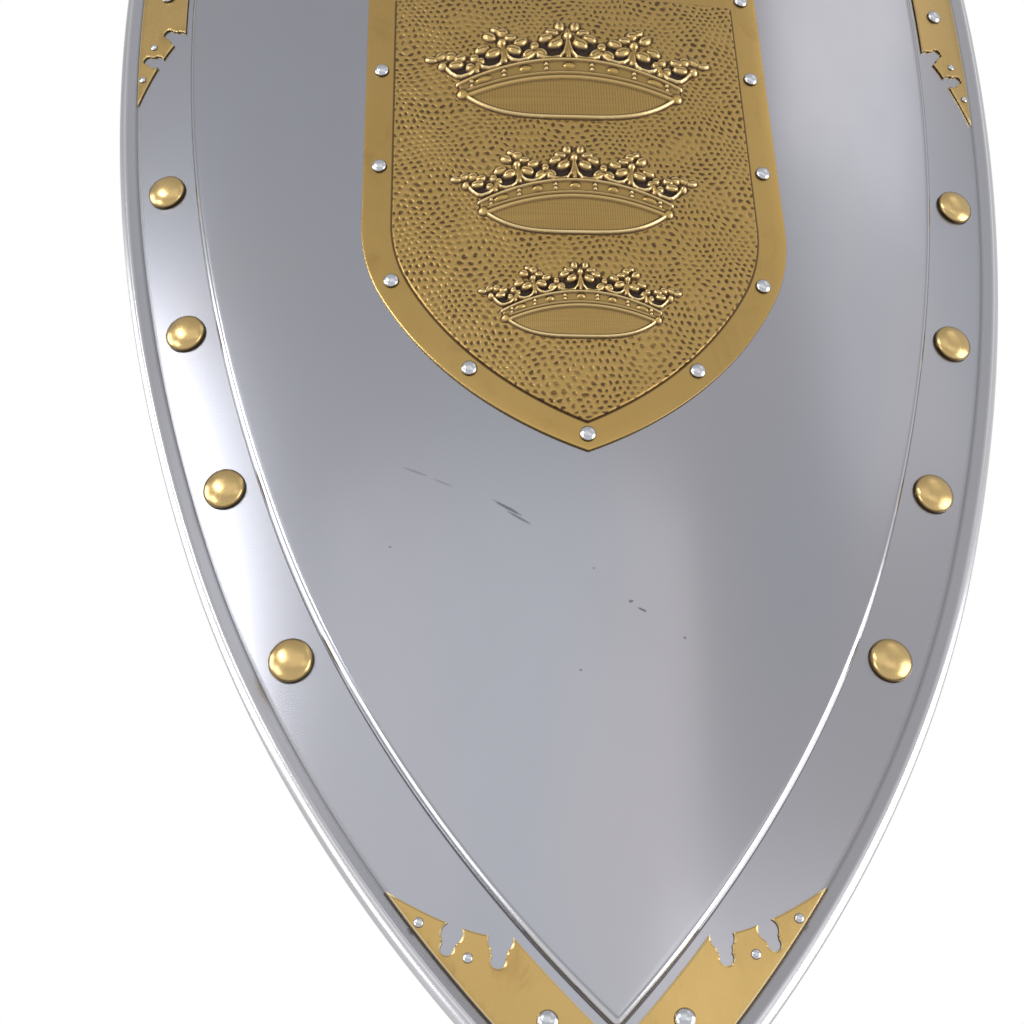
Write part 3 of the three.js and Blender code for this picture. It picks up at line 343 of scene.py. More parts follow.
class Graph:
    """The nodes of one material or world."""

    def __init__(self, tree):
        self.tree = tree
        tree.nodes.clear()

    def feed(self, socket, value):
        """Links a signal to a socket, or writes a plain value there."""
        if isinstance(value, Signal):
            self.tree.links.new(value.socket, socket)
        elif hasattr(value, "__len__"):
            held = list(value)
            wanted = len(socket.default_value)
            socket.default_value = held[:wanted] + [1.0] * (wanted - len(held))
        else:
            socket.default_value = value

    def node(self, kind, settings=None, sockets=None):
        """One node: its settings first, then the values or links of its sockets."""
        node = self.tree.nodes.new(kind)
        for key, value in (settings or {}).items():
            setattr(node, key, value)
        pairs = enumerate(sockets) if isinstance(sockets, list) else (sockets or {}).items()
        for key, value in pairs:
            self.feed(node.inputs[key], value)
        return Made(self, node)

    def mix(self, factor, first, second):
        """One colour blended into another."""
        node = self.tree.nodes.new("ShaderNodeMix")
        node.data_type = "RGBA"
        self.feed(node.inputs["Factor"], factor)
        colours = [s for s in node.inputs if s.type == "RGBA"]
        self.feed(colours[0], first)
        self.feed(colours[1], second)
        return Signal(self, [s for s in node.outputs if s.type == "RGBA"][0])

    def place(self, scale=(1, 1, 1), shift=(0, 0, 0), kind="Object"):
        """Object coordinates in metres or the flat map in millimetres, scaled and shifted."""
        source = self.node("ShaderNodeTexCoord").out(kind)
        wanted = {"Vector": source, "Location": shift, "Scale": scale}
        return self.node("ShaderNodeMapping", {"vector_type": "POINT"}, wanted).out()

    def apart(self, place):
        """A place's two or three distances, by the names X, Y and Z."""
        return self.node("ShaderNodeSeparateXYZ", {}, [place])

    def noise(self, place, scale, detail=3.0, roughness=0.5, distortion=0.0):
        """Soft noise: features per metre or millimetre, layers, strength of the finer layers, and warp."""
        node = self.node(
            "ShaderNodeTexNoise",
            {},
            {"Vector": place, "Scale": scale, "Detail": detail, "Roughness": roughness, "Distortion": distortion},
        )
        return node.out(0)

    def held(self, name):
        """A number stored on the piece's own points."""
        node = self.node("ShaderNodeAttribute", {"attribute_name": name})
        return node.out("Fac")

    def bump(self, height, distance, strength=1.0, under=None):
        """A normal tilted by a height from 0 to 1 over a distance in metres, on top of another bump."""
        wanted = {"Height": height, "Distance": distance, "Strength": strength}
        if under is not None:
            wanted["Normal"] = under
        return self.node("ShaderNodeBump", {}, wanted).out()

    def surface(self, **sockets):
        """The one shader of a material. Names are the shader's own, with underscores for spaces."""
        wanted = {key.replace("_", " "): value for key, value in sockets.items()}
        shader = self.node("ShaderNodeBsdfPrincipled", {}, wanted)
        self.node("ShaderNodeOutputMaterial", {}, {"Surface": shader.out()})


def material(name):
    """A new material and its graph."""
    made = bpy.data.materials.new(name)
    made.use_nodes = True
    return made, Graph(made.node_tree)


def steel_finish(name, finishes, base_rough=0.2, marks=False):
    """Satin steel with soft bluish clouds and small dull patches: grime with painted shade where the piece's mark is
    above nothing, and rubbed steel with painted sheen where it is below nothing. Marks are the field's scuffs."""
    made, graph = material(name)
    soil = graph.held("soil").clamped()
    wide = graph.noise(graph.place((1, 1, 0.45)), 5.5, 2.0, 0.45, 0.6)
    cloud = wide.between(0.36, 0.66)
    small = graph.noise(graph.place((1, 1, 0.6), shift=(3, 1, 7)), 26.0, 4.0, 0.6)
    base = graph.mix(cloud * 0.6, finishes.steel, finishes.steel_cool)
    base = graph.mix(small.between(0.35, 0.8) * 0.14, base, finishes.steel_dull)
    rough = base_rough + cloud * 0.04 + small * 0.05
    if marks:
        scuff = scuff_mask(graph)
        base = graph.mix(scuff, base, finishes.scuff)
        rough = rough + scuff * 0.25
    # Below nothing: rubbed steel, also a painted sheen. Above nothing: grime, also painted shade, duller and less
    # metallic.
    base = graph.mix((graph.held("soil") * -1.0).clamped(), base, finishes.rubbed)
    base = graph.mix(soil, base, finishes.grime_and_shade)
    graph.surface(Base_Color=base, Metallic=1.0 - soil * 0.6, Roughness=(rough + soil * 0.3).clamped())
    return made


def scuff_mask(graph):
    """The few dark scuffs and specks on the field: thin slanted strokes and dots at their places on the sheet."""
    flat = graph.apart(graph.place())
    along, up = flat.out("X"), flat.out("Z")
    grain = graph.noise(graph.place((1, 1, 3)), 900.0, 2.0, 0.6)
    total = None
    for x, z, half_long, half_wide, lean, weight in SCUFFS:
        cos, sin = math.cos(lean), math.sin(lean)
        reach = ((along - x) * cos + (up - z) * sin) / half_long
        off = ((along - x) * -sin + (up - z) * cos) / half_wide
        inside = 1.0 - (reach * reach + off * off)
        stroke = (inside + (grain - 0.5) * 1.6).between(0.0, 0.7) * weight
        total = stroke if total is None else total.most(stroke)
    return total.clamped()


# Place along and up in metres, half length and half width, lean, and weight
SCUFFS = [
    (-0.0790, -0.3178, 0.0070, 0.0007, -0.42, 0.30),
    (-0.0665, -0.3240, 0.0060, 0.0006, -0.45, 0.26),
    (-0.0375, -0.3375, 0.0085, 0.0009, -0.55, 0.62),
    (-0.0325, -0.3425, 0.0075, 0.0008, -0.58, 0.50),
    (0.0153, -0.3829, 0.0013, 0.0008, 0.3, 0.60),
    (0.0200, -0.3868, 0.0024, 0.0007, -0.5, 0.60),
    (0.0378, -0.3997, 0.0008, 0.0007, 0.0, 0.55),
    (-0.0080, -0.4146, 0.0008, 0.0006, 0.0, 0.50),
    (-0.0898, -0.3551, 0.0008, 0.0006, 0.0, 0.45),
    (-0.0002, -0.3673, 0.0007, 0.0006, 0.0, 0.35),
]


def brass_finish(name, finishes, base_rough, hammered=False, hatched=False, pale=0.0, tarnish=0.0):
    """Brass: fine polishing lines, warm clouds and brown patches, with dark patina where the piece holds recess, which
    on the studs is also painted shade under their edge, and bright crests where it holds polish. Hammered adds the
    panel's pits, with painted shade in their upper parts, and hatched the crowns' lines and pockets."""
    made, graph = material(name)
    recess = graph.held("recess").clamped()
    small = graph.noise(graph.place(), 60.0, 3.0, 0.55)
    line = graph.noise(graph.place((1, 1, 0.06)), 900.0, 2.0, 0.5)
    tone = graph.noise(graph.place(shift=(2, 0, 5)), 14.0, 3.0, 0.5)
    base = graph.mix(tone.between(0.3, 0.75) * 0.5, finishes.brass, finishes.brass_warm)
    base = graph.mix(pale, base, finishes.brass_pale)
    patch = graph.noise(graph.place((1, 1, 0.7), shift=(1, 4, 2)), 38.0, 4.0, 0.62, 0.8)
    base = graph.mix(patch.between(0.52, 0.78) * tarnish, base, finishes.tarnish)
    rough = base_rough + small * 0.10 + line * 0.05
    normal = graph.bump(line, 0.00002, 0.3)
    if hammered:
        pits, hollow, grain = hammer_marks(graph)
        base = graph.mix(grain * 0.25, base, finishes.brass_deep)
        # Patina in the pits, with painted shade in their upper parts
        base = graph.mix(pits * 0.88, base, finishes.patina)
        rough = rough + pits * 0.1
        normal = graph.bump(1.0 - hollow, 0.0002, 0.6, normal)
    if hatched:
        across = graph.apart(graph.place(kind="UV")).out("X")
        waver = graph.noise(graph.place((0.02, 1, 1), kind="UV"), 0.5, 2.0, 0.5)
        lines = (across * (2 * math.pi / HATCH_PITCH)).maths("COSINE") * 0.5 + 0.5
        lines = lines * graph.held("hatch").clamped() * waver.between(0.2, 0.6)
        base = graph.mix(lines * 0.38, base, finishes.patina)
        normal = graph.bump(1.0 - lines, 0.0002, 0.5, normal)
    base = graph.mix(recess, base, finishes.patina)
    base = graph.mix(graph.held("polish").clamped() * 0.9, base, finishes.crest)
    if hatched:
        base = graph.mix(graph.held("deep").clamped() * 0.9, base, finishes.shade)
    graph.surface(Base_Color=base, Metallic=1.0, Roughness=(rough + recess * 0.2).clamped(), Normal=normal)
    return made


def hammer_marks(graph):
    """Patina in the pits of the panel's mesh, with painted shade making each pit's upper part darkest, the pits' depth,
    and a mottling.
    """
    flat = graph.apart(graph.place(kind="UV"))
    along, up = flat.out("X"), flat.out("Y")
    # Shifted up so that each pit is darkest in its upper part: painted shade on the wall that faces down
    wave = pit_waves(along, up - 0.35, lambda turn: turn.maths("COSINE"))
    speck = graph.noise(graph.place(kind="UV"), 0.9, 3.0, 0.6)
    wide = graph.noise(graph.place(kind="UV"), 0.05, 2.0, 0.5)
    pits = (wave + (speck - 0.5) * 1.5).between(0.0, 1.2) * (wide.between(0.25, 0.6) * 0.65 + 0.35)
    return pits, wave.between(-0.2, 1.5), speck.between(0.35, 0.75)


def silver_finish(name, finishes):
    """Bright plated rivets with a few dull spots, dark at their feet with grime and painted shade."""
    made, graph = material(name)
    spots = graph.noise(graph.place(), 420.0, 3.0, 0.6)
    base = graph.mix(spots.between(0.5, 0.8) * 0.4, finishes.silver, finishes.silver_dull)
    base = graph.mix(graph.held("recess").clamped() * 0.9, base, finishes.grime_and_shade)
    rough = 0.14 + spots * 0.16
    graph.surface(Base_Color=base, Metallic=1.0, Roughness=rough, Normal=graph.bump(spots, 0.00002, 0.3))
    return made


def leather_finish(name, finishes):
    """Waxed leather: pebbled grain with pores, paler where it is rubbed, dark along cut edges."""
    made, graph = material(name)
    place = graph.place()
    cells = graph.node(
        "ShaderNodeTexVoronoi", {"feature": "DISTANCE_TO_EDGE"}, {"Vector": place, "Scale": 700.0, "Randomness": 0.9}
    ).out("Distance")
    grain = cells.between(0.02, 0.22)
    pores = graph.noise(place, 2200.0, 2.0, 0.6)
    wide = graph.noise(place, 34.0, 4.0, 0.6)
    edge = graph.held("edge").clamped()
    base = graph.mix(wide.between(0.3, 0.75), finishes.leather, finishes.leather_worn)
    base = graph.mix((1.0 - grain) * 0.7, base, finishes.leather_dark)
    base = graph.mix(edge * 0.8, base, finishes.leather_dark)
    normal = graph.bump(grain + pores * 0.3, 0.00018, 0.6)
    rough = (0.42 + wide * 0.22 + (1.0 - grain) * 0.15).clamped()
    graph.surface(Base_Color=base, Roughness=rough, Specular_IOR_Level=0.45, Normal=normal)
    return made


def thread_finish(name, finishes):
    """Waxed thread with its twist."""
    made, graph = material(name)
    twist = graph.noise(graph.place(), 1800.0, 1.0, 0.5)
    base = graph.mix(twist, finishes.thread, finishes.thread_dark)
    graph.surface(Base_Color=base, Roughness=0.65, Normal=graph.bump(twist, 0.0001, 0.5))
    return made


# Meshes


def quads(rows, columns, around=False, down=False):
    """Corner numbers of the cells of a grid of rows and columns, closed around its columns or down its rows."""
    r = np.arange(rows if down else rows - 1)
    c = np.arange(columns if around else columns - 1)
    r, c = np.meshgrid(r, c, indexing="ij")
    r2, c2 = (r + 1) % rows, (c + 1) % columns
    return np.stack([r * columns + c, r * columns + c2, r2 * columns + c2, r2 * columns + c], -1).reshape(-1, 4)


def volume(points, faces):
    """Six times the signed volume between the origin and faces, each a fan of triangles from its first corner."""
    corners = points[faces].swapaxes(0, 1)
    return sum(np.sum(corners[0] * np.cross(b, c)) for b, c in zip(corners[1:], corners[2:]))


def outward(points, faces):
    """The same faces, turned so that the closed body's volume is positive."""
    if sum(volume(points, group) for group in faces) > 0:
        return faces
    return [group[:, ::-1] for group in faces]


def mesh_from(name, points, faces, marks=None, flat=None, sharp=35.0):
    """A smooth mesh from an array of points and arrays of faces, one for each count of corners. Marks are numbers kept
    on the points, flat is their drawn place, and edges that turn by more than sharp degrees stay sharp."""
    mesh = bpy.data.meshes.new(name)
    faces = outward(points, faces)
    corners = np.concatenate([group.reshape(-1) for group in faces])
    counts = np.concatenate([np.full(len(group), group.shape[1]) for group in faces])
    starts = np.concatenate([[0], np.cumsum(counts)[:-1]])
    mesh.vertices.add(len(points))
    mesh.vertices.foreach_set("co", points.astype(np.float32).reshape(-1))
    mesh.loops.add(len(corners))
    mesh.loops.foreach_set("vertex_index", corners.astype(np.int32))
    mesh.polygons.add(len(counts))
    mesh.polygons.foreach_set("loop_start", starts.astype(np.int32))
    for key, values in (marks or {}).items():
        layer = mesh.attributes.new(key, "FLOAT", "POINT")
        layer.data.foreach_set("value", np.asarray(values, np.float32).reshape(-1))
    mesh.update(calc_edges=True)
    mesh.validate()
    if flat is not None:
        layer = mesh.uv_layers.new(name="flat")
        layer.data.foreach_set("uv", flat[corners].astype(np.float32).reshape(-1))
    mesh.shade_smooth()
    mesh.set_sharp_from_angle(angle=math.radians(sharp))
    return mesh


def closed_grid(grid):
    """Points and faces of a tube of rings, with a pole at each end, in the middle of the end ring."""
    rings, count = grid.shape[:2]
    points = np.concatenate([grid.reshape(-1, 3), [grid[0].mean(0), grid[-1].mean(0)]])
    step = np.arange(count)
    after = (step + 1) % count
    last = (rings - 1) * count
    first_fan = np.stack([after, step, np.full(count, rings * count)], -1)
    last_fan = np.stack([last + step, last + after, np.full(count, rings * count + 1)], -1)
    return points, [quads(rings, count, around=True), first_fan, last_fan]


def closed_loop(grid):
    """Points and faces of rings that follow each other round to the first, as on a hoop."""
    return grid.reshape(-1, 3), [quads(*grid.shape[:2], around=True, down=True)]


def joined(parts):
    """Several bodies' points and faces as one."""
    start = 0
    points, faces = [], []
    for some, groups in parts:
        faces += [group + start for group in outward(some, groups)]
        points.append(some)
        start += len(some)
    return np.concatenate(points), faces


def add_piece(name, mesh, finish, body, nodes=()):
    """Puts a mesh in the scene: it rides on a body, takes a slot's finish and stands for the nodes."""
    mesh.materials.append(finish)
    piece = bpy.data.objects.new(name, mesh)
    bpy.context.scene.collection.objects.link(piece)
    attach(piece, body)
    if nodes:
        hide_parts(*nodes)
    return piece


# Places on the shield


def on_curve(along, up, forward, size):
    """A drawn place bent onto the shield: the distance along becomes an angle, and forward lengthens its radius."""
    turn = np.asarray(along) / size.plate.bend_radius
    reach = size.plate.bend_radius + np.asarray(forward)
    across = reach * np.sin(turn)
    back = size.plate.bend_radius - reach * np.cos(turn) + size.ring.forward
    high = np.broadcast_to(np.asarray(up) - size.ring.height, np.shape(across))
    return np.stack([across, back, high], -1) / 1000


def standing(points, along, up, size):
    """Straight points, drawn as (along, up, forward) round a middle, moved square to the sheet at a place."""
    turn = along / size.plate.bend_radius
    sideways = np.array([math.cos(turn), math.sin(turn), 0])
    ahead = np.array([math.sin(turn), -math.cos(turn), 0])
    foot = on_curve(along, up, 0.0, size)
    moved = points[..., :1] * sideways + points[..., 1:2] * np.array([0, 0, 1]) + points[..., 2:3] * ahead
    return foot + moved / 1000


def arc(centre, radius, start, end, steps):
    """Points of an arc, from one direction to another."""
    turn = np.linspace(start, end, steps + 1)
    return np.stack([centre[0] + radius * np.cos(turn), centre[1] + radius * np.sin(turn)], -1)


def run_along(line):
    """How far along a line each of its points lies."""
    return np.concatenate([[0], np.cumsum(np.hypot(*np.diff(line, axis=0).T))])


def looked_up(wanted, run, values):
    """Pairs of values that belong to a run, between its points."""
    return np.stack([np.interp(wanted, run, values[:, i]) for i in range(2)], -1)


def spread(line, count):
    """A line's points again, evenly spaced along it."""
    run = run_along(line)
    return looked_up(np.linspace(0, run[-1], count), run, line)


def to_the_right(run):
    """Directions square to a line's steps, on its right."""
    run = run / np.hypot(*run.T)[:, None]
    return np.stack([run[:, 1], -run[:, 0]], -1)


def rounded_line(corners, radii, steps):
    """A line through corners, each inner corner replaced by an arc that touches both its sides."""
    corners = np.array(corners, float)
    points = [tuple(corners[0])]
    for before, corner, after, radius in zip(corners, corners[1:], corners[2:], radii):
        came, goes = before - corner, after - corner
        came /= np.hypot(*came)
        goes /= np.hypot(*goes)
        half = math.acos(np.clip(came @ goes, -1, 1)) / 2
        bisector = (came + goes) / np.hypot(*(came + goes))
        middle = corner + bisector * radius / math.sin(half)
        first, last = corner + came * radius / math.tan(half), corner + goes * radius / math.tan(half)
        start = math.atan2(*(first - middle)[::-1])
        sweep = (math.atan2(*(last - middle)[::-1]) - start + math.pi) % (2 * math.pi) - math.pi
        points += [tuple(p) for p in arc(middle, radius, start, start + sweep, steps)]
    return points + [tuple(corners[-1])]


class Heater:
    """A heater outline: straight top, and sides of two arcs, the upper one leaving the shoulder upright."""

    def __init__(self, half_width, top, shoulder, point, upper, lower):
        self.half_width, self.top, self.shoulder = half_width, top, shoulder
        self.upper, self.lower = upper, lower
        self.high = np.array([half_width - upper, shoulder])
        to_point = np.array([0, point]) - self.high
        step = upper - lower
        reach = math.hypot(*to_point)
        cosine = (reach**2 + step**2 - lower**2) / (2 * step * reach)
        self.sweep = math.atan2(-to_point[1], to_point[0]) - math.acos(cosine)
        self.low = self.high + step * np.array([math.cos(self.sweep), -math.sin(self.sweep)])
        self.point_sweep = math.atan2(self.low[1] - point, -self.low[0])

    def outline(self, offset, corner, counts=(10, 150, 8, 60)):
        """The outline moved out by an offset, anticlockwise from the point, with the same count of points for any."""
        ends, side, bend, top = counts
        inner = self.lower + offset - corner
        drop = math.sqrt(inner**2 - self.low[0] ** 2)
        point_middle = (0.0, self.low[1] - drop)
        lean = math.atan2(drop, -self.low[0])
        middle = (self.half_width + offset - corner, self.top + offset - corner)
        stop = min(0.0, (middle[1] - self.shoulder) / self.upper)
        run = np.concatenate(
            [
                arc(self.low, self.lower + offset, -lean, -self.sweep, 200),
                arc(self.high, self.upper + offset, -self.sweep, stop, 200)[1:],
                [[self.half_width + offset, max(middle[1], self.shoulder + stop * self.upper)]],
            ]
        )
        half = np.concatenate(
            [
                arc(point_middle, corner, -math.pi / 2, -lean, ends),
                spread(run, side)[1:],
                arc(middle, corner, 0, math.pi / 2, bend)[1:],
                np.stack([np.linspace(middle[0], 0, top), np.full(top, self.top + offset)], -1)[1:],
            ]
        )
        left = half[1:-1][::-1] * [-1, 1]
        return np.concatenate([half, left])

    def on_side(self, reach, out):
        """A place up the side from the point, moved out from the edge."""
        low_run = (self.point_sweep - self.sweep) * self.lower
        if reach < low_run:
            turn = reach / self.lower - self.point_sweep
            return self.low + (self.lower + out) * np.array([math.cos(turn), math.sin(turn)])
        turn = (reach - low_run) / self.upper - self.sweep
        return self.high + (self.upper + out) * np.array([math.cos(turn), math.sin(turn)])

    def side_length(self):
        """The side's whole run: its two arcs and its straight top."""
        return (self.point_sweep - self.sweep) * self.lower + self.sweep * self.upper + self.top - self.shoulder

    def below_corner(self, reach, out):
        """A place down the side from the top corner."""
        beyond = reach - (self.top - self.shoulder)
        if beyond < 0:
            return np.array([self.half_width + out, self.top - reach])
        turn = -beyond / self.upper
        return self.high + (self.upper + out) * np.array([math.cos(turn), math.sin(turn)])

    def beside_corner(self, reach, out):
        """A place in along the top from its corner."""
        return np.array([self.half_width - reach, self.top + out])


def field_form(size):
    """The raised field's outline."""
    plate = size.plate
    shoulder = plate.height - plate.corner
    return Heater(plate.half_width, plate.height, shoulder, 0.0, plate.upper_radius, plate.lower_radius)


def escutcheon_form(size, inset=False):
    """The escutcheon's outline, or its panel's."""
    e = size.escutcheon
    top, shoulder = e.point + e.height, e.point + e.shoulder
    if inset:
        half, point = e.half_width - e.side_border, e.point + e.point_border
        return Heater(half, top - e.top_border, shoulder, point, e.panel_upper, e.panel_lower)
    return Heater(e.half_width, top, shoulder, e.point, e.upper_radius, e.lower_radius)


def faces_ahead(size):
    """How far forward the stacked faces lie."""
    plate, e = size.plate, size.escutcheon
    border_back = plate.rise + plate.seat_gap
    return SimpleNamespace(
        border_back=border_back,
        border=border_back + e.thickness,
        panel=border_back + e.thickness + e.panel_rise,
        mount_back=plate.seat_gap,
        mount=plate.seat_gap + size.mount.thickness,
    )


def mirror_pairs(places):
    """Each place and its mirror image, once for places on the middle line."""
    return [p for x, y in places for p in ([(x, y)] if abs(x) < 0.3 else [(-x, y), (x, y)])]


def border_rivet_places(size):
    """Places of the escutcheon's rivets, in the order of their nodes."""
    e, form = size.escutcheon, escutcheon_form(size)
    top = e.point + e.height - e.rivet_inset
    line = e.half_width - e.rivet_inset
    upper = top - e.rivet_drop
    low = [tuple(form.on_side(reach, -e.rivet_inset)) for reach in (e.low_rivet, e.next_rivet)]
    high = [(line, upper - e.rivet_pitch), (line, upper), (line, top), (line / 3, top)]
    return mirror_pairs([(0.0, e.point + e.rivet_inset), *low, *high])


def stud_places(size):
    """Places of the band's studs by node name."""
    form, middle, f = field_form(size), size.plate.band_width / 2, size.fastener
    places = {}
    for i, reach in enumerate(np.linspace(f.first_stud, form.side_length() - f.last_stud, 4)):
        x, y = form.on_side(reach, middle)
        places[f"band_stud_left_{i + 1}"] = (-x, y)
        places[f"band_stud_right_{i + 1}"] = (x, y)
    for i in range(3):
        places[f"band_stud_top_{i + 1}"] = ((i - 1) * f.stud_pitch, size.plate.height + middle)
    return places


def corner_arms(size):
    """For each corner, its two arms going round anticlockwise: functions of reach and distance out."""
    form = field_form(size)

    def mirrored(arm):
        return lambda reach, out: arm(reach, out) * [-1, 1]

    return {
        "bottom": [mirrored(form.on_side), form.on_side],
        "top_left": [mirrored(form.beside_corner), mirrored(form.below_corner)],
        "top_right": [form.below_corner, form.beside_corner],
    }


# Plates


def fill_rings(outline, centre, shares):
    """Outlines shrunk towards a centre, by shares of their size."""
    return [centre + (outline - centre) * s for s in shares]


def plate_mesh(name, rings, mark, values, size, sharp):
    """Flat rings of (outline, forward) bent onto the shield as one closed body. The mark has one value for each ring,
    and is nothing at the poles."""
    grid = np.stack([on_curve(outline[:, 0], outline[:, 1], forward, size) for outline, forward in rings])
    points, faces = closed_grid(grid)
    marks = {mark: np.concatenate([np.repeat(values, grid.shape[1]), [0, 0]])}
    return mesh_from(name, points, faces, marks, sharp=sharp)


def base_rings(size):
    """From the middle of the front out over the band, up the rim's slanted inner side, round the rim to its slot, back
    inside it and to the middle of the back. Its mark is grime with painted shade at the field's foot, in the crease and
    inside the rim, and rubbed steel with painted sheen on the rim's slanted side and round."""
    plate, form = size.plate, field_form(size)
    radius, back, rest = plate.rim_diameter / 2, -plate.base_thickness, plate.rim_lean
    inner = radius - plate.base_thickness
    crease, flat_end = plate.band_width, plate.band_width - 8.0
    middle = (crease + radius, back / 2)
    slot, inner_end = plate.slot_angle - math.pi, math.pi + math.asin(-middle[1] / inner) - 0.1
    top = np.array(middle) + radius * np.array([math.cos(rest), math.sin(rest)])
    foot = rounded_line([(crease - 2, 0), (crease - 0.1, 0), top], (0.7,), 4)[:-1]
    # Each place of the section has its distance out from the field, its place forward, and its mark: grime with painted
    # shade above nothing, rubbed steel with painted sheen below
    section = [(-2.0, 0.0, 0.0), (-0.2, 0.0, 0.9), (0.25, 0.0, 0.75), (0.65, 0.0, 0.0), (flat_end, 0.0, 0.0)]
    section += [(x, y, 0.45 * max(0.0, 1 - math.hypot(x - crease, y) / 0.9)) for x, y in foot]
    section += [(*(foot[-1] + (top - foot[-1]) * share), -0.35) for share in (0.25, 0.8)]
    section += [(x, y, -1.0) for x, y in arc(middle, radius, rest, slot, 24)]
    section += [(x, y, 0.2) for x, y in arc(middle, (radius + inner) / 2, slot - 0.1, slot - 0.1, 0)]
    section += [(x, y, 0.35) for x, y in arc(middle, inner, slot, inner_end, 14)]
    section += [(crease - 0.2, back, 0.3), (crease - 2, back, 0.0), (flat_end, back, 0.0)]

    def outline(offset):
        return form.outline(offset, max(2.0, plate.rim_corner + offset - crease))

    centre = np.array([0.0, plate.height * 0.52])
    inward = [0.97, 0.94, 0.9, 0.8, 0.65, 0.5, 0.35, 0.2, 0.08]
    rings = [(ring, 0.0) for ring in fill_rings(outline(-2.0), centre, inward[::-1])]
    rings += [(outline(offset), forward) for offset, forward, _ in section]
    rings += [(ring, back) for ring in fill_rings(outline(flat_end), centre, inward)]
    return rings, [0.0] * len(inward) + [dirt for _, _, dirt in section] + [0.0] * len(inward)


def field_rings(size):
    """The raised field: from its middle out to the shoulder, down to the base sheet and back underneath. Its foot holds
    grime with painted shade, and its shoulder is rubbed steel with a painted highlight."""
    plate, form = size.plate, field_form(size)
    reach, under = plate.shoulder + 1.5, plate.seat_gap - 0.25
    section = rounded_line([(-reach, plate.rise), (0.0, plate.rise), (0.0, under)], (plate.shoulder,), 12)
    section.append((-0.8, under))
    edge = form.outline(-reach, 0.7)
    centre = np.array([0.0, plate.height * 0.52])
    inward, below = np.linspace(0.97, 0.05, 26), [0.9, 0.5, 0.1]
    rings = [(ring, plate.rise) for ring in fill_rings(edge, centre, inward[::-1])]
    rings += [(form.outline(x, max(0.7, plate.corner + x)), y) for x, y in section]
    rings += [(ring, under) for ring in fill_rings(edge, centre, below)]
    # Grime with painted shade at the foot, and a painted highlight on the shoulder's wall
    soil = [1.2 - 1.5 * y if y < 0.8 else -0.8 * (y < plate.rise - 0.2) for _, y in section]
    return rings, [0.0] * len(inward) + soil + [0.0] * len(below)


# Crowns, drawn in millimetres for the largest, round the middle between the oval ring's tips


def dome(x, y, cx, cy, long, wide, lean, height):
    """An oval boss: height times a rounded fall-off of the distance from its middle, turned by lean."""
    cos, sin = math.cos(lean), math.sin(lean)
    u = ((x - cx) * cos + (y - cy) * sin) / long
    v = ((y - cy) * cos - (x - cx) * sin) / wide
    return height * np.sqrt(np.clip(1 - u * u - v * v, 0, None))


def ridge(x, y, line, half_width, height):
    """A rounded rope along a line of points: height times a rounded fall-off of the distance to the line."""
    best = np.full(x.shape, 1e9)
    for (ax, ay), (bx, by) in zip(line[:-1], line[1:]):
        dx, dy = bx - ax, by - ay
        t = np.clip(((x - ax) * dx + (y - ay) * dy) / (dx * dx + dy * dy), 0, 1)
        best = np.minimum(best, (x - ax - t * dx) ** 2 + (y - ay - t * dy) ** 2)
    return height * np.sqrt(np.clip(1 - best / half_width**2, 0, None))


# The lens's half length and how far its two edges bulge, and the band's half length, with the rise and the tip of its
# upper rope, of the line of its jewels and of its lower rope
LENS_HALF, LENS_RISE, LENS_SAG = 54.1, 12.9, 14.4
BAND_HALF, BAND_TOP, BAND_MIDDLE, BAND_FOOT = 58.4, (25.0, 7.6), (20.7, 4.2), (16.4, 1.6)
# The grid that a crown is worked out on, and the hatching of its lens
CROWN_PITCH, CROWN_HALF, CROWN_LOW, CROWN_HIGH, HATCH_PITCH = 0.37, 78, -17.5, 55, 1.45
# Petals of one side: middle, half length, half width, lean in degrees, height
PETALS = [
    (4.1, 49.2, 3.1, 2.5, 80, 2.5),
    (8.3, 44.8, 3.4, 1.9, 8, 2.1),
    (11.6, 40.2, 3.7, 2.6, -18, 2.9),
    (6.5, 36.4, 4.2, 2.9, -28, 3.3),
    (28.9, 31.4, 4.3, 2.9, 20, 3.3),
    (25.2, 37.0, 3.9, 2.6, -25, 2.9),
    (30.4, 40.4, 3.1, 2.1, 0, 2.3),
    (34.6, 44.0, 2.9, 2.9, 0, 2.4),
    (38.1, 46.0, 2.9, 1.9, 25, 2.1),
    (41.6, 41.0, 3.5, 2.7, 30, 2.7),
    (45.3, 32.0, 3.9, 2.7, -20, 2.9),
    (39.6, 29.2, 4.2, 2.9, -25, 3.2),
    (17.8, 34.3, 2.4, 2.8, 0, 2.5),
    (21.3, 28.7, 3.3, 2.4, -40, 2.9),
    (14.1, 29.7, 3.3, 2.3, 40, 2.7),
    (59.3, 21.3, 4.0, 2.4, -10, 3.0),
    (57.1, 26.3, 3.1, 2.1, -20, 2.4),
    (61.9, 27.9, 2.8, 2.8, 0, 2.4),
    (67.3, 28.0, 3.2, 2.4, -35, 2.3),
    (72.4, 26.0, 3.1, 1.9, 10, 2.2),
    (49.6, 26.0, 2.4, 2.4, 0, 2.4),
    (46.2, 23.9, 2.0, 2.0, 0, 2.3),
    (51.9, 19.6, 2.4, 2.4, 0, 2.6),
]
BEADS = [(0.0, 41.7, 2.7, 3.6), (35.1, 35.9, 2.7, 3.5), (66.3, 20.7, 2.5, 3.0), (56.0, 1.3, 3.0, 2.6)]
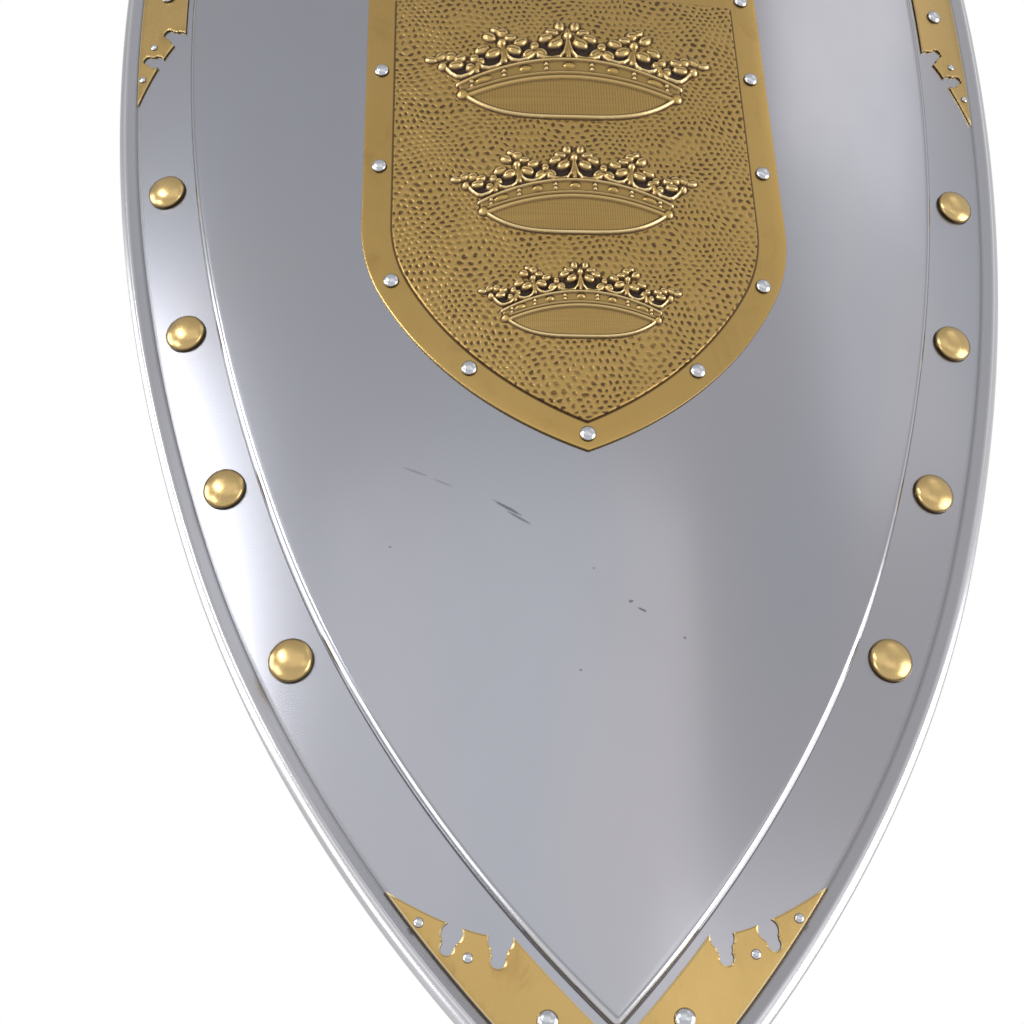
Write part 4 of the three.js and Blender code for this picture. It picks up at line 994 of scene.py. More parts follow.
# The scalloped line beneath the petals, from the middle outwards, and the stems that carry the flowers
SCALLOPS = [
    [(0.5, 38.5), (1.0, 35), (2.2, 30.8), (4.6, 27.1), (8.7, 26), (12.9, 26.4), (15.8, 27.6), (17.3, 30)],
    [(17.3, 30), (19.2, 27.6), (21.9, 25.4), (26.1, 24), (29.3, 24.7), (31.6, 26.6), (33.4, 31)],
    [(35.9, 34), (34.9, 29.7), (35.0, 25.4), (36.2, 22), (38.6, 19.9), (41.9, 18.9), (45.1, 19.7), (47.2, 21.8)],
    [(47.6, 22.0), (49.3, 18.1), (52.4, 14.9), (56.6, 13.2), (59.0, 13.6), (61.6, 15.8), (64.6, 19.6)],
]
STEMS = [[(0, 27), (0, 38)], [(33.8, 24.5), (34.6, 34)], [(48.6, 17.5), (48.0, 21.5)]]
# Ovals along the band: place across, half length; and pairs of beads
BAND_OVALS = [(0.0, 3.6), (23.0, 3.6), (45.0, 5.0)]
BAND_PAIRS = [12.0, 34.2, 51.2]
# Pockets sunk between the scallops and the petals: middle, half length, half width, lean in degrees
POCKETS = [(9.0, 31.5, 8.0, 6.2, 0), (25.0, 30.0, 8.4, 6.4, 12), (41.0, 25.5, 7.2, 6.5, 24), (57.5, 18.8, 8.0, 5.0, 12)]


def lens_top(x):
    """A parabola between the lens's tips."""
    return LENS_RISE * (1 - (x / LENS_HALF) ** 2)


def lens_bottom(x):
    """A fuller curve between the same tips: the distance from the middle, as a share, to the power 3.4."""
    return -LENS_SAG * (1 - np.abs(x / LENS_HALF) ** 3.4)


def band_line(x, rise, tip):
    """A parabola over the lens: tip at the ends of the band, and rise in its middle."""
    return rise - (rise - tip) * (x / BAND_HALF) ** 2


def crown_relief(x, y):
    """Heights of one crown above the panel, each the highest of its bosses, ropes and floors, how deep each place lies
    in shadowed patina, and the hatched lens."""
    relief = np.full(x.shape, -1.0)
    side = np.abs(x)

    def raise_to(h):
        np.maximum(relief, np.where(h > 0, h, -1.0), out=relief)

    def floor_at(mask, h):
        relief[mask & (relief < h)] = h

    pocket = np.zeros(x.shape)
    for cx, cy, long, wide, lean in POCKETS:
        pocket = np.maximum(pocket, dome(side, y, cx, cy, long, wide, math.radians(lean), 1.0))
    band_top = band_line(x, BAND_TOP[0] + 0.2, BAND_TOP[1])
    over_band = y > band_top
    floor_at((pocket > 0.05) & over_band, 0.12)
    lens = (y < lens_top(x)) & (y > lens_bottom(x)) & (side < LENS_HALF)
    floor_at(lens, 0.5)
    over_lens = y > lens_top(np.clip(x, -LENS_HALF, LENS_HALF)) - 0.5
    floor_at((y < band_top) & over_lens & (side < BAND_HALF - 0.9), 0.85)

    across = np.linspace(-LENS_HALF, LENS_HALF, 49)
    wide = np.linspace(-BAND_HALF, BAND_HALF, 49)
    raise_to(ridge(x, y, np.stack([across, lens_bottom(across)], -1), 1.05, 1.8))
    raise_to(ridge(x, y, np.stack([across, lens_top(across)], -1), 1.5, 1.9))
    raise_to(ridge(x, y, np.stack([wide, band_line(wide, *BAND_TOP)], -1), 1.15, 2.0))
    raise_to(ridge(x, y, np.stack([wide, band_line(wide, *BAND_FOOT)], -1), 0.55, 1.35))

    for u, half in BAND_OVALS:
        for at in {u, -u}:
            slope = -2 * 14.5 * at / BAND_HALF**2
            raise_to(dome(x, y, at, band_line(at, *BAND_MIDDLE), half, 2.3, math.atan(slope), 2.1))
    for u in BAND_PAIRS:
        for step in (-1.5, 1.5):
            raise_to(dome(side, y, u, band_line(u, *BAND_MIDDLE) + step, 1.3, 1.3, 0, 2.0))

    covered = relief.copy()
    for line in SCALLOPS:
        raise_to(ridge(side, y, np.array(line, float), 1.0, 1.9))
    for line in STEMS:
        raise_to(ridge(side, y, np.array(line, float), 1.7, 1.7))
    for cx, cy, long, wide, lean, height in PETALS:
        petal = dome(side, y, cx, cy, long * 1.1, wide * 1.1, math.radians(lean), height)
        across = (y - cy) * math.cos(math.radians(lean)) - (side - cx) * math.sin(math.radians(lean))
        raise_to(petal - 0.7 * np.exp(-((across / 0.55) ** 2)) * (petal > 0.8 * height))
    for cx, cy, radius, height in BEADS:
        raise_to(dome(side, y, cx, cy, radius, radius, 0, height))
    return relief, pocket * over_band * (relief < 0.4), lens & (covered < 0.9)


def blurred(values, steps):
    """Heights averaged with their neighbours, a few times over, along rows and columns."""
    soft = values.copy()
    for _ in range(steps):
        for axis in (0, 1):
            padded = np.concatenate([soft.take([0], axis), soft, soft.take([-1], axis)], axis)
            size = soft.shape[axis]
            soft = sum(padded.take(np.arange(k, k + size), axis) for k in range(3)) / 3
    return soft


# Each crown's size, and its height as a share of the escutcheon's
CROWNS = {"upper": (1.0, 0.7057), "middle": (0.824, 0.4491), "lower": (0.65, 0.2346)}


def crown_foot(height, size):
    """How far up the middle of a crown lies."""
    return size.escutcheon.point + height * size.escutcheon.height


def crown_mesh(name, scale, height, size):
    """A closed slab whose top is the crown's relief. Its floor lies under the panel's face, so only the crown shows.
    Recess gathers where the relief is lower than its blurred copy, and polish where it is higher."""
    ahead = faces_ahead(size)
    foot = crown_foot(height, size)
    pitch = CROWN_PITCH / math.sqrt(scale)
    xs = np.arange(-CROWN_HALF, CROWN_HALF + 0.01, pitch)
    ys = np.arange(CROWN_LOW, CROWN_HIGH + 0.01, pitch)
    y, x = np.meshgrid(ys, xs, indexing="ij")
    relief, pocket, lens = crown_relief(x, y)
    shown = relief > 0
    halo = np.clip(blurred(np.where(shown, 1.0, 0.0), 6) * 5.0, 0, 1)
    floor = np.where(halo > 0.25, 0.05, -0.5)
    top = blurred(np.where(shown, relief, floor), 1)
    around = blurred(np.where(shown, relief, 0.0), 4)
    recess = np.where(shown, np.clip((around - relief) * 3.2 + 0.1, 0, 1), halo)
    recess = np.clip(blurred(np.where(lens, np.clip((around - relief) * 3.0, 0, 1), recess), 1) * 1.25, 0, 1)
    polish = np.where(shown, np.clip((relief - around) * 2.6 - 0.35, 0, 1), 0)
    deep = blurred(np.clip(pocket * 3.0, 0, 1), 1)
    surface = on_curve(x * scale, foot + y * scale, ahead.panel + top, size)
    under = on_curve(x[[0, -1]] * scale, foot + y[[0, -1]] * scale, ahead.panel - 1.0, size)
    rows, columns = x.shape
    last_row, base = (rows - 1) * columns, rows * columns
    c, r = np.arange(columns - 1), np.arange(rows) * columns
    faces = [
        quads(rows, columns),
        np.stack([c + 1, c, base + c, base + c + 1], -1),
        np.stack([last_row + c, last_row + c + 1, base + columns + c + 1, base + columns + c], -1),
        np.stack([base + c, base + columns + c, base + columns + c + 1, base + c + 1], -1),
        np.concatenate([r, [base + columns, base]])[None],
        np.concatenate([r + columns - 1, [base + 2 * columns - 1, base + columns - 1]])[None, ::-1],
    ]
    kept = {"recess": recess, "hatch": lens * 1.0, "deep": deep, "polish": polish}
    marks = {key: np.concatenate([value.reshape(-1), np.zeros(2 * columns)]) for key, value in kept.items()}
    points = np.concatenate([surface.reshape(-1, 3), under.reshape(-1, 3)])
    flat = np.concatenate([np.stack([x, y], -1).reshape(-1, 2), np.zeros((2 * columns, 2))])
    return mesh_from(name, points, faces, marks, flat, sharp=180)


# How far the panel reaches past its outline, and the rounding of its edge
PANEL_SPREAD, PANEL_ROUNDING = 0.15, 0.9
# Hammer marks: rows of ovals, with their places shaken by slower waves. Numbers are millimetres and turns
PIT_PITCH, PIT_ROW, PIT_DEPTH = 3.9, 3.45, 0.36
SHAKES = [
    (1.5, 0.019, 0.012, 0.0),
    (0.8, -0.015, 0.033, 0.3),
    (0.30, 0.061, -0.073, 0.6),
    (0.20, 0.137, 0.119, 0.2),
    (0.17, -0.203, 0.151, 0.8),
]


def pit_waves(along, up, wave):
    """Height of the pits' pattern, at most 1.8 in a pit's middle, for numpy arrays or signals. With both places shaken,
    it is cosine across times cosine of half a turn per row, which staggers the rows, and 0.8 times cosine of a turn
    per row."""
    sideways, upwards = along, up
    for size, across, rise, start in SHAKES:
        sideways = sideways + wave((along * across + up * rise + start) * (2 * math.pi)) * size
        upwards = upwards + wave((along * rise - up * across + (start + 0.25)) * (2 * math.pi)) * size
    staggered = wave(sideways * (2 * math.pi / PIT_PITCH)) * wave(upwards * (math.pi / PIT_ROW))
    return staggered + wave(upwards * (2 * math.pi / PIT_ROW)) * 0.8


def panel_mesh(size):
    """The raised hammered panel: rows across between its two sides with pits pressed in, its edge rounded off in the
    outermost columns, side walls, and a coarse underside. The first rows are narrower, to round the upper corners."""
    ahead = faces_ahead(size)
    form = escutcheon_form(size, inset=True)
    half = form.outline(PANEL_SPREAD, 1.0, (4, 400, 4, 60))[: 4 + 400 + 4]
    top, low = form.top + PANEL_SPREAD, half[0, 1]
    edge = np.array([0, 0.12, 0.3, 0.55, 0.9])
    drop = np.concatenate([edge, np.linspace(1.4, top - low - 1.2, 342), top - low - np.array([0.9, 0.5, 0.2])])
    up = top - drop
    order = np.argsort(half[:, 1])
    reach = np.interp(up, half[order, 1], half[order, 0])
    reach[:5] = np.sqrt(1 - (1 - edge) ** 2) + form.half_width + PANEL_SPREAD - 1
    inner = np.concatenate([edge, np.linspace(1.4, 91.6, 118)])
    share = inner / inner[-1]
    share = np.concatenate([share, (2 - share)[::-1][1:]]) - 1
    x = reach[:, None] * share
    y = np.repeat(up[:, None], len(share), 1)
    from_side = reach[:, None] - np.abs(x)
    lean = np.abs(np.gradient(reach, up))[:, None]
    from_edge = np.minimum(from_side / np.sqrt(1 + lean**2), (top - y))
    fall = np.clip(1 - from_edge / PANEL_ROUNDING, 0, 1)
    edge_drop = size.escutcheon.panel_rise * (1 - np.sqrt(np.clip(1 - fall**2, 0, 1)))
    pits = np.clip((pit_waves(x, y, np.cos) + 0.2) / 1.8, 0, 1)
    pits = pits * pits * (3 - 2 * pits) * np.clip((from_edge - 1.2) / 1.5, 0, 1)
    surface = on_curve(x, y, ahead.panel - edge_drop - pits * PIT_DEPTH, size)
    rows, columns = x.shape
    few = 17
    floor = on_curve(reach[:, None] * np.linspace(-1, 1, few), up[:, None], ahead.border - 0.3, size)
    base, r = rows * columns, np.arange(rows - 1)
    first, last = r * columns, r * columns + columns - 1
    near, far = base + r * few, base + r * few + few - 1
    faces = [
        quads(rows, columns),
        np.stack([first, first + columns, near + few, near], -1),
        np.stack([last + columns, last, far, far + few], -1),
        (quads(rows, few) + base)[:, ::-1],
        np.concatenate([np.arange(columns)[::-1], base + np.arange(few)])[None],
        np.concatenate([base - columns + np.arange(columns), base + rows * few - 1 - np.arange(few)])[None],
    ]
    near_crown = crown_shadow(x, y, size)
    dirt = np.maximum(np.clip(fall * 1.3 - 0.3, 0, 1) * 0.8, near_crown).reshape(-1)
    marks = {"recess": np.concatenate([dirt, np.ones(rows * few)])}
    points = np.concatenate([surface.reshape(-1, 3), floor.reshape(-1, 3)])
    flat = np.concatenate([np.stack([x, y], -1).reshape(-1, 2), np.zeros((rows * few, 2))])
    return mesh_from("hammered_panel", points, faces, marks, flat, sharp=180)


def crown_shadow(along, up, size):
    """How much of a crown's foot lies near each place, from a blurred map of the crown: dark patina gathers there."""
    step = 0.8
    xs, ys = np.arange(-84, 84.01, step), np.arange(-24, 68.01, step)
    gy, gx = np.meshgrid(ys, xs, indexing="ij")
    soft = blurred(np.where(crown_relief(gx, gy)[0] > 0, 1.0, 0.0), 2)
    dark = np.zeros(along.shape)
    for scale, height in CROWNS.values():
        u = (along / scale - xs[0]) / step
        v = ((up - crown_foot(height, size)) / scale - ys[0]) / step
        inside = (u > 0) & (u < len(xs) - 1) & (v > 0) & (v < len(ys) - 1)
        ui = np.clip(u, 0, len(xs) - 1.001).astype(int)
        vi = np.clip(v, 0, len(ys) - 1.001).astype(int)
        dark = np.maximum(dark, np.where(inside, soft[vi, ui], 0.0))
    return np.clip(dark * 2.4 - 0.3, 0, 0.95)


def escutcheon_mesh(size):
    """The flat border, carried on underneath the panel as one plate with rounded edges, dark along the panel's foot."""
    ahead, e = faces_ahead(size), size.escutcheon
    form, panel = escutcheon_form(size), escutcheon_form(size, inset=True)
    centre = np.array([0.0, e.point + 0.55 * e.height])
    counts = (6, 130, 6, 50)
    inset = -6.0

    def outline(offset):
        return form.outline(offset, max(0.6, e.corner + offset), counts)

    inward = [0.95, 0.9, 0.8, 0.6, 0.4, 0.2, 0.05]
    section = [(inset, 0.0), (-1.0, 0.0), (-0.45, -0.03), (-0.15, -0.14), (0.0, -0.4), (0.0, -e.thickness)]
    rings = [(ring, ahead.border) for ring in fill_rings(panel.outline(-3.0, 1.0, counts), centre, inward[::-1])]
    rings += [(panel.outline(x, 1.0 + max(0.0, x), counts), ahead.border) for x in (-0.6, 0.75, 1.2)]
    rings += [(outline(x), ahead.border + y) for x, y in section]
    rings += [(ring, ahead.border_back) for ring in fill_rings(outline(inset), centre, inward)]
    dark = np.zeros(len(rings))
    dark[len(inward) : len(inward) + 2] = 0.9, 0.8
    return plate_mesh("escutcheon_border", rings, "recess", dark, size, 35)


# Fasteners


def turned(profile, sides):
    """Rings of points: a profile of (radius, forward) turned round the forward direction."""
    turn = np.linspace(0, 2 * math.pi, sides, endpoint=False)
    radius, forward = np.array(profile, float).T[:, :, None]
    return np.stack([radius * np.cos(turn), radius * np.sin(turn), np.repeat(forward, sides, 1)], -1)


# How a hammered tail is rounded: two shares of its radius and height, and how far its edge lies behind what it holds
ROUND_TAIL = (0.55, 0.9, 0.92, 0.45, 0.1)
FLAT_TAIL = (0.6, 0.88, 0.95, 0.4, 0.05)


def tail_and_shank(front, back, rounding, size):
    """A rivet's hammered tail, up to its front, and its shank on to the back of its head."""
    f = size.fastener
    narrow, low, wide, high, edge = rounding
    return [
        (0.3, front - f.tail_height),
        (f.tail_radius * narrow, front - f.tail_height * low),
        (f.tail_radius * wide, front - f.tail_height * high),
        (f.tail_radius, front - edge),
        (f.shank_radius, front),
        (f.shank_radius, back),
    ]


def domed_profile(radius, height, back, size, lip):
    """Hammered tail, shank, and a dome: a flattened ball's arc that rolls under at its edge."""
    height += size.plate.seat_gap
    dome = [(radius - lip, back)]
    for turn in np.linspace(0, math.pi / 2, 11)[:-1]:
        dome.append((radius * math.cos(turn) ** 0.92, back + lip + (height - lip) * math.sin(turn)))
    tail = -size.plate.base_thickness - size.plate.seat_gap
    return tail_and_shank(tail, back, ROUND_TAIL, size) + dome + [(0.2, back + height)]


def pin_profile(back, size):
    """A small pin: a short upright wall and a ball's arc."""
    f, top = size.fastener, back + 0.25
    rise = back + f.pin_height - top
    arch = [(f.pin_radius * math.cos(t), top + rise * math.sin(t)) for t in np.linspace(0.2, 1.45, 6)]
    return [(f.pin_radius, back), (f.pin_radius, top), *arch]


def fastener_mesh(name, profile, place, size, sides=28):
    """A closed turned piece standing on the shield at a place."""
    points, faces = closed_grid(standing(turned(profile, sides), *place, size))
    # Grime and painted shade under each head's edge: patina colour on brass, grime on silver and steel
    dirt = fastener_dirt(profile, sides)
    return mesh_from(name, points, faces, {"recess": dirt, "soil": dirt})


def fastener_dirt(profile, sides):
    """Grime and painted shade gather round the foot of each head: they fade over 0.9 ahead of the widest place."""
    radius, forward = np.array(profile).T
    ahead = forward - forward[np.argmax(radius)]
    fall = np.clip(1 - ahead / 0.9, 0, 1) * (ahead >= -0.5)
    return np.concatenate([np.repeat(fall, sides), [0, 0]])


# Corner mounts


def mount_outline(arms, size, corner):
    """The mount's edge: out along both outer edges round the corner, and back along the hollowed ends, each a parabola,
    and the inner edge."""
    m = size.mount
    outer, inner = size.plate.band_width - m.outer_gap, m.inner_across
    near_outer, outer_bend = mount_corner(corner, outer, size.plate.rim_corner - m.outer_gap, size)
    near_inner, inner_bend = mount_corner(corner, inner, size.plate.corner + inner, size)

    def line(arm, far, near, out):
        return [arm(reach, out) for reach in np.linspace(far, near, 34)]

    def end(arm):
        tip, root = arm(m.outer_reach, outer), arm(m.inner_reach, inner)
        middle = arm((m.outer_reach + m.inner_reach) / 2 - m.end_sag, (outer + inner) / 2)
        control = 2 * middle - (tip + root) / 2
        t = np.linspace(0, 1, 14)[1:-1, None]
        return list((1 - t) ** 2 * tip + 2 * t * (1 - t) * control + t**2 * root)

    first, second = arms
    return np.array(
        line(first, m.outer_reach, near_outer, outer)
        + list(outer_bend)
        + line(second, m.outer_reach, near_outer, outer)[::-1]
        + end(second)
        + line(second, m.inner_reach, near_inner, inner)
        + list(inner_bend)[::-1]
        + line(first, m.inner_reach, near_inner, inner)[::-1]
        + end(first)[::-1]
    )


def mount_corner(corner, out, bend, size):
    """Where an edge's runs stop near the corner, and the arc between them, for its distance out and its bend."""
    form = field_form(size)
    if corner == "bottom":
        drop = math.sqrt((form.lower + out - bend) ** 2 - form.low[0] ** 2)
        lean = math.atan2(drop, -form.low[0])
        turn = arc((0.0, form.low[1] - drop), bend, lean - math.pi, -lean, 10)[1:-1]
        return (form.point_sweep - lean) * form.lower, turn
    near = bend - out
    turn = arc((form.half_width - near, form.top - near), bend, 0, math.pi / 2, 10)[1:-1]
    return near, (turn * [-1, 1])[::-1] if corner == "top_left" else turn


# Along each arm of a mount: reach from the corner and distance out from the field, and for the round holes, which
# overlap into two keyholes, their radius
KEYHOLES = [
    (68.6, 21.2, 4.4),
    (67.0, 24.0, 3.0),
    (65.7, 26.2, 2.8),
    (54.5, 8.4, 5.0),
    (51.7, 11.7, 3.3),
    (49.4, 14.4, 3.0),
]
PINS = [(79.8, 28.6), (57.8, 22.5)]
HOLE_SIDES = 28


def inset_line(line, distance):
    """A closed anticlockwise line moved inwards, square to itself."""
    return line - to_the_right(np.roll(line, -1, 0) - np.roll(line, 1, 0)) * distance


def inside(points, line):
    """Which points lie inside a closed line: an odd count of crossings to one side."""
    x, y = points[:, 0], points[:, 1]
    odd = np.zeros(len(points), bool)
    for (ax, ay), (bx, by) in zip(line, np.roll(line, -1, 0)):
        if ay != by:
            odd ^= ((ay > y) != (by > y)) & (x < ax + (y - ay) * (bx - ax) / (by - ay))
    return odd


def cut_sheet(edge, bevel, rounds):
    """A flat sheet inside an edge and outside round holes, in triangles, with a line of points a bevel away from every
    edge. Gives its points, its triangles, turned anticlockwise, and the sides of triangles along its edges."""
    inner_edge = inset_line(edge, bevel)
    lines = [edge, inner_edge]
    for middle, radius in rounds:
        lines += [arc(middle, reach, 0, 2 * math.pi, HOLE_SIDES)[:-1] for reach in (radius, radius + bevel)]
    points, links = [], []
    for line in lines:
        start = len(points)
        points += [Vector(p) for p in line]
        links += [(start + i, start + (i + 1) % len(line)) for i in range(len(line))]
    low, high = edge.min(0), edge.max(0)
    grid = np.meshgrid(np.arange(low[0], high[0], 4.0), np.arange(low[1], high[1], 4.0))
    extra = np.stack(grid, -1).reshape(-1, 2)
    points += [Vector(p) for p in extra[inside(extra, inner_edge)]]
    verts, _, faces, _, _, _ = delaunay_2d_cdt(points, links, [], 0, 1e-5)
    flat = np.array([tuple(v) for v in verts])
    tris = np.array([list(f) for f in faces if len(f) == 3])
    middle = flat[tris].mean(1)
    keep = inside(middle, edge)
    for centre, radius in rounds:
        keep &= np.hypot(*(middle - centre).T) > radius * math.cos(math.pi / HOLE_SIDES)
    used, tris = np.unique(tris[keep], return_inverse=True)
    flat, tris = flat[used], tris.reshape(-1, 3)
    area = np.cross(flat[tris[:, 1]] - flat[tris[:, 0]], flat[tris[:, 2]] - flat[tris[:, 0]])
    tris[area < 0] = tris[area < 0][:, ::-1]
    sides = np.concatenate([tris[:, [0, 1]], tris[:, [1, 2]], tris[:, [2, 0]]])
    known = {tuple(side) for side in sides}
    return flat, tris, np.array([side for side in sides if (side[1], side[0]) not in known])


def mount_mesh(name, arms, corner, size):
    """A thin plate cut from its outline and keyholes. Its front steps back along every edge, which makes a bevel,
    polished most along the outer edge."""
    m, ahead = size.mount, faces_ahead(size)
    rounds = [(arm(reach, across), radius) for arm in arms for reach, across, radius in KEYHOLES]
    flat, tris, rim = cut_sheet(mount_outline(arms, size, corner), m.bevel, rounds)
    on_rim = np.zeros(len(flat), bool)
    on_rim[rim.reshape(-1)] = True
    out = size.plate.band_width - m.outer_gap
    outer = np.array([arm(reach, out) for arm in arms for reach in np.arange(0, 110, 0.5)])
    far = np.array([np.hypot(*(outer - spot).T).min() for spot in flat]) > 0.3
    forward = np.where(on_rim, ahead.mount - np.where(far, m.inner_bevel, m.outer_bevel), ahead.mount)
    points = np.concatenate([on_curve(*flat.T, level, size) for level in (forward, ahead.mount_back)])
    count = len(flat)
    walls = np.stack([rim[:, 1], rim[:, 0], rim[:, 0] + count, rim[:, 1] + count], -1)
    marks = {"polish": np.concatenate([np.where(on_rim, np.where(far, 0.4, 1.0), 0.0), np.zeros(count)])}
    return mesh_from(name, points, [tris, tris[:, ::-1] + count, walls], marks, sharp=18.0)


# Straps, clip and ring


def between(before, after, count):
    """Points on the straight line from the end of one line to the start of the next, without its ends."""
    return before[-1] + (after[0] - before[-1]) * np.linspace(0, 1, count)[1:-1, None]


def level_run(start, end, height, count):
    """Points along a level line, without its end."""
    return np.stack([np.linspace(start, end, count)[:-1], np.full(count - 1, height)], -1)


def swept(path, ahead, section):
    """A section of (sideways, outwards) carried along a path of (up, forward) points, given its outward directions."""
    grid = np.empty((len(path), len(section), 3))
    grid[..., 0] = section[:, 0]
    grid[..., 1] = path[:, None, 0] + ahead[:, None, 0] * section[:, 1]
    grid[..., 2] = path[:, None, 1] + ahead[:, None, 1] * section[:, 1]
    return grid


def rounded_bar(width, thickness, edge, steps=4):
    """The outline of a flat bar's section with rounded edges, anticlockwise, with points across both its faces."""
    x, y = width / 2 - edge, thickness / 2 - edge
    corners = [((x, y), 0), ((-x, y), math.pi / 2), ((-x, -y), math.pi), ((x, -y), 3 * math.pi / 2)]
    first, second, third, fourth = (arc(at, edge, start, start + math.pi / 2, steps) for at, start in corners)
    return np.concatenate([first, between(first, second, 9), second, third, between(third, fourth, 9), fourth])


def strap_path(span, standoff, size):
    """A strap seen from the side: tab, root bend, straight leg, round crown, and the same again. Points and outward
    directions, which point away from the shield."""
    s = size.strap
    half = span / 2
    sine, cosine = math.sin(s.leg_angle), math.cos(s.leg_angle)
    rise = (1 - cosine) / sine
    run = half - s.root * sine
    leg = (standoff - s.root * (1 - cosine) - run * rise) / (sine - cosine * rise)
    crown = (run - leg * cosine) / sine
    seat = -size.plate.base_thickness - 2 * size.plate.seat_gap - s.thickness / 2
    low = arc((-half, seat - s.root), s.root, math.pi / 2, math.pi / 2 - s.leg_angle, 12)
    top = arc((0, seat - standoff + crown), crown, -math.pi / 2 - s.leg_angle, -math.pi / 2 + s.leg_angle, 44)
    high = arc((half, seat - s.root), s.root, math.pi / 2 + s.leg_angle, math.pi / 2, 12)
    tab = level_run(-half - s.tab, -half, seat, 10)
    legs = between(low, top, 12), between(top, high, 12)
    path = np.concatenate([tab, low, legs[0], top, legs[1], high, (tab * [-1, 1])[::-1]])
    return path, to_the_right(np.gradient(path, axis=0))


def clip_path(size):
    """The clip seen from the side: a leaf on the sheet, an eye round the bar and a leaf back up over the first. The
    eye's arc goes on past its bottom, a slope leads up from it, and a bend turns that slope into the outer leaf."""
    r = size.ring
    eye = r.wire + size.plate.seat_gap + r.clip_thickness / 2
    outer_leaf = clip_front(size) - 1.5 * r.clip_thickness - r.clip_slit
    sine, cosine = math.sin(r.eye_wrap), math.cos(r.eye_wrap)
    slope = (outer_leaf - r.forward + eye * cosine - r.clip_bend * (1 - cosine)) / sine
    bend = np.array([sine, -cosine]) * (eye + r.clip_bend) + np.array([cosine, sine]) * slope
    path = np.concatenate(
        [
            level_run(r.clip_leaf, 0, eye, 8),
            arc((0, 0), eye, math.pi / 2, 1.5 * math.pi + r.eye_wrap, 26),
            arc(bend, r.clip_bend, math.pi / 2 + r.eye_wrap, math.pi / 2, 6),
            level_run(r.clip_leaf, bend[0], bend[1] + r.clip_bend, 8)[::-1],
        ]
    )
    return path + [0, r.forward], to_the_right(np.gradient(path, axis=0))


def clip_front(size):
    """Where the clip's inner leaf faces the base sheet."""
    return -size.plate.base_thickness - size.ring.clip_gap


def ring_mesh(size):
    """Round wire along the ring's closed line: straight bar, rounded corners, short legs and a half circle."""
    r = size.ring
    inner = r.half_width - r.corner
    half_circle = arc((0, -r.leg), r.half_width, -math.pi, 0, 40)
    right = arc((inner, -r.corner), r.corner, 0, math.pi / 2, 10)
    left = arc((-inner, -r.corner), r.corner, math.pi / 2, math.pi, 10)
    line = spread(np.concatenate([half_circle, right, left, half_circle[:1]]), 121)[:-1]
    out = to_the_right(np.roll(line, -1, 0) - np.roll(line, 1, 0))
    turn = np.linspace(0, 2 * math.pi, 20, endpoint=False)
    x, z = (line[:, i, None] + out[:, i, None] * r.wire * np.cos(turn) for i in range(2))
    grid = np.stack([x, np.broadcast_to(r.wire * np.sin(turn), x.shape), z], -1) / 1000
    return clean_mesh("hanging_ring_wire", *closed_loop(grid))


def clean_mesh(name, points, faces, sharp=35.0):
    """A steel piece's mesh with no grime, painted shade or sheen on it."""
    return mesh_from(name, points, faces, {"soil": np.zeros(len(points))}, sharp=sharp)


def stitch_mesh(node, path, ahead, width, offset, size):
    """Two rows of short thread beads along both faces' edges, laid end to end with gaps. A bead's rings are wide in its
    middle and narrow at its ends."""
    s = size.strap
    run = run_along(path)
    turn = np.linspace(0, 2 * math.pi, 6, endpoint=False)
    shares = np.array([0.0, 0.15, 0.5, 0.85, 1.0])
    girth = np.array([0.25, 0.85, 1.0, 0.85, 0.25])[:, None]
    parts = []
    for face in (-1, 1):
        for side in (-1, 1):
            for start in np.arange(run[0] + s.tab * 0.2, run[-1] - s.tab * 0.2, s.stitch * 1.35):
                at = start + s.stitch * shares
                line, out = looked_up(at, run, path), looked_up(at, run, ahead)
                lift = face * (s.thickness / 2) + face * s.thread_stand * girth * np.sin(turn)
                across = side * (width / 2 - s.stitch_inset) + s.thread * girth * np.cos(turn)
                ring = np.stack([across, line[:, :1] + out[:, :1] * lift, line[:, 1:] + out[:, 1:] * lift], -1)
                parts.append(closed_grid(standing(ring, offset, s.line_height, size)))
    return mesh_from(f"{node}_stitches", *joined(parts))


def washer_mesh(name, back, place, size):
    """A flat ring with rounded edges, its back at a place forward."""
    f = size.fastener
    bore, radius, front = f.shank_radius + f.washer_play, f.washer_radius, back + f.washer_height
    loop = [(bore, back + 0.2), (bore + 0.2, back), (radius - 0.4, back), (radius, back + 0.3)]
    loop += [(radius, front - 0.3), (radius - 0.4, front), (bore + 0.2, front), (bore, front - 0.2)]
    return clean_mesh(name, *closed_loop(standing(turned(loop, 36), *place, size)))


# Operators: one for each piece or group of like pieces


def held_sizes(context):
    """The sizes and the finishes that the scene holds."""
    return sizes(context.scene), context.scene.shield_finishes


class SHIELD_OT_base(bpy.types.Operator):
    """Base sheet with its rolled rim"""

    bl_idname = "shield.base_sheet"
    bl_label = "Base sheet"

    def execute(self, context):
        size, finishes = held_sizes(context)
        rings, soil = base_rings(size)
        mesh = plate_mesh("base_sheet", rings, "soil", soil, size, 50)
        add_piece("base_sheet", mesh, steel_finish("band_steel", finishes), "shield", ["shield_plate"])
        return {"FINISHED"}


class SHIELD_OT_field(bpy.types.Operator):
    """Raised centre field"""

    bl_idname = "shield.field"
    bl_label = "Raised field"

    def execute(self, context):
        size, finishes = held_sizes(context)
        rings, soil = field_rings(size)
        mesh = plate_mesh("raised_field", rings, "soil", soil, size, 50)
        finish = steel_finish("field_steel", finishes, 0.15, marks=True)
        add_piece("raised_field", mesh, finish, "shield", ["field_plate"])
        return {"FINISHED"}


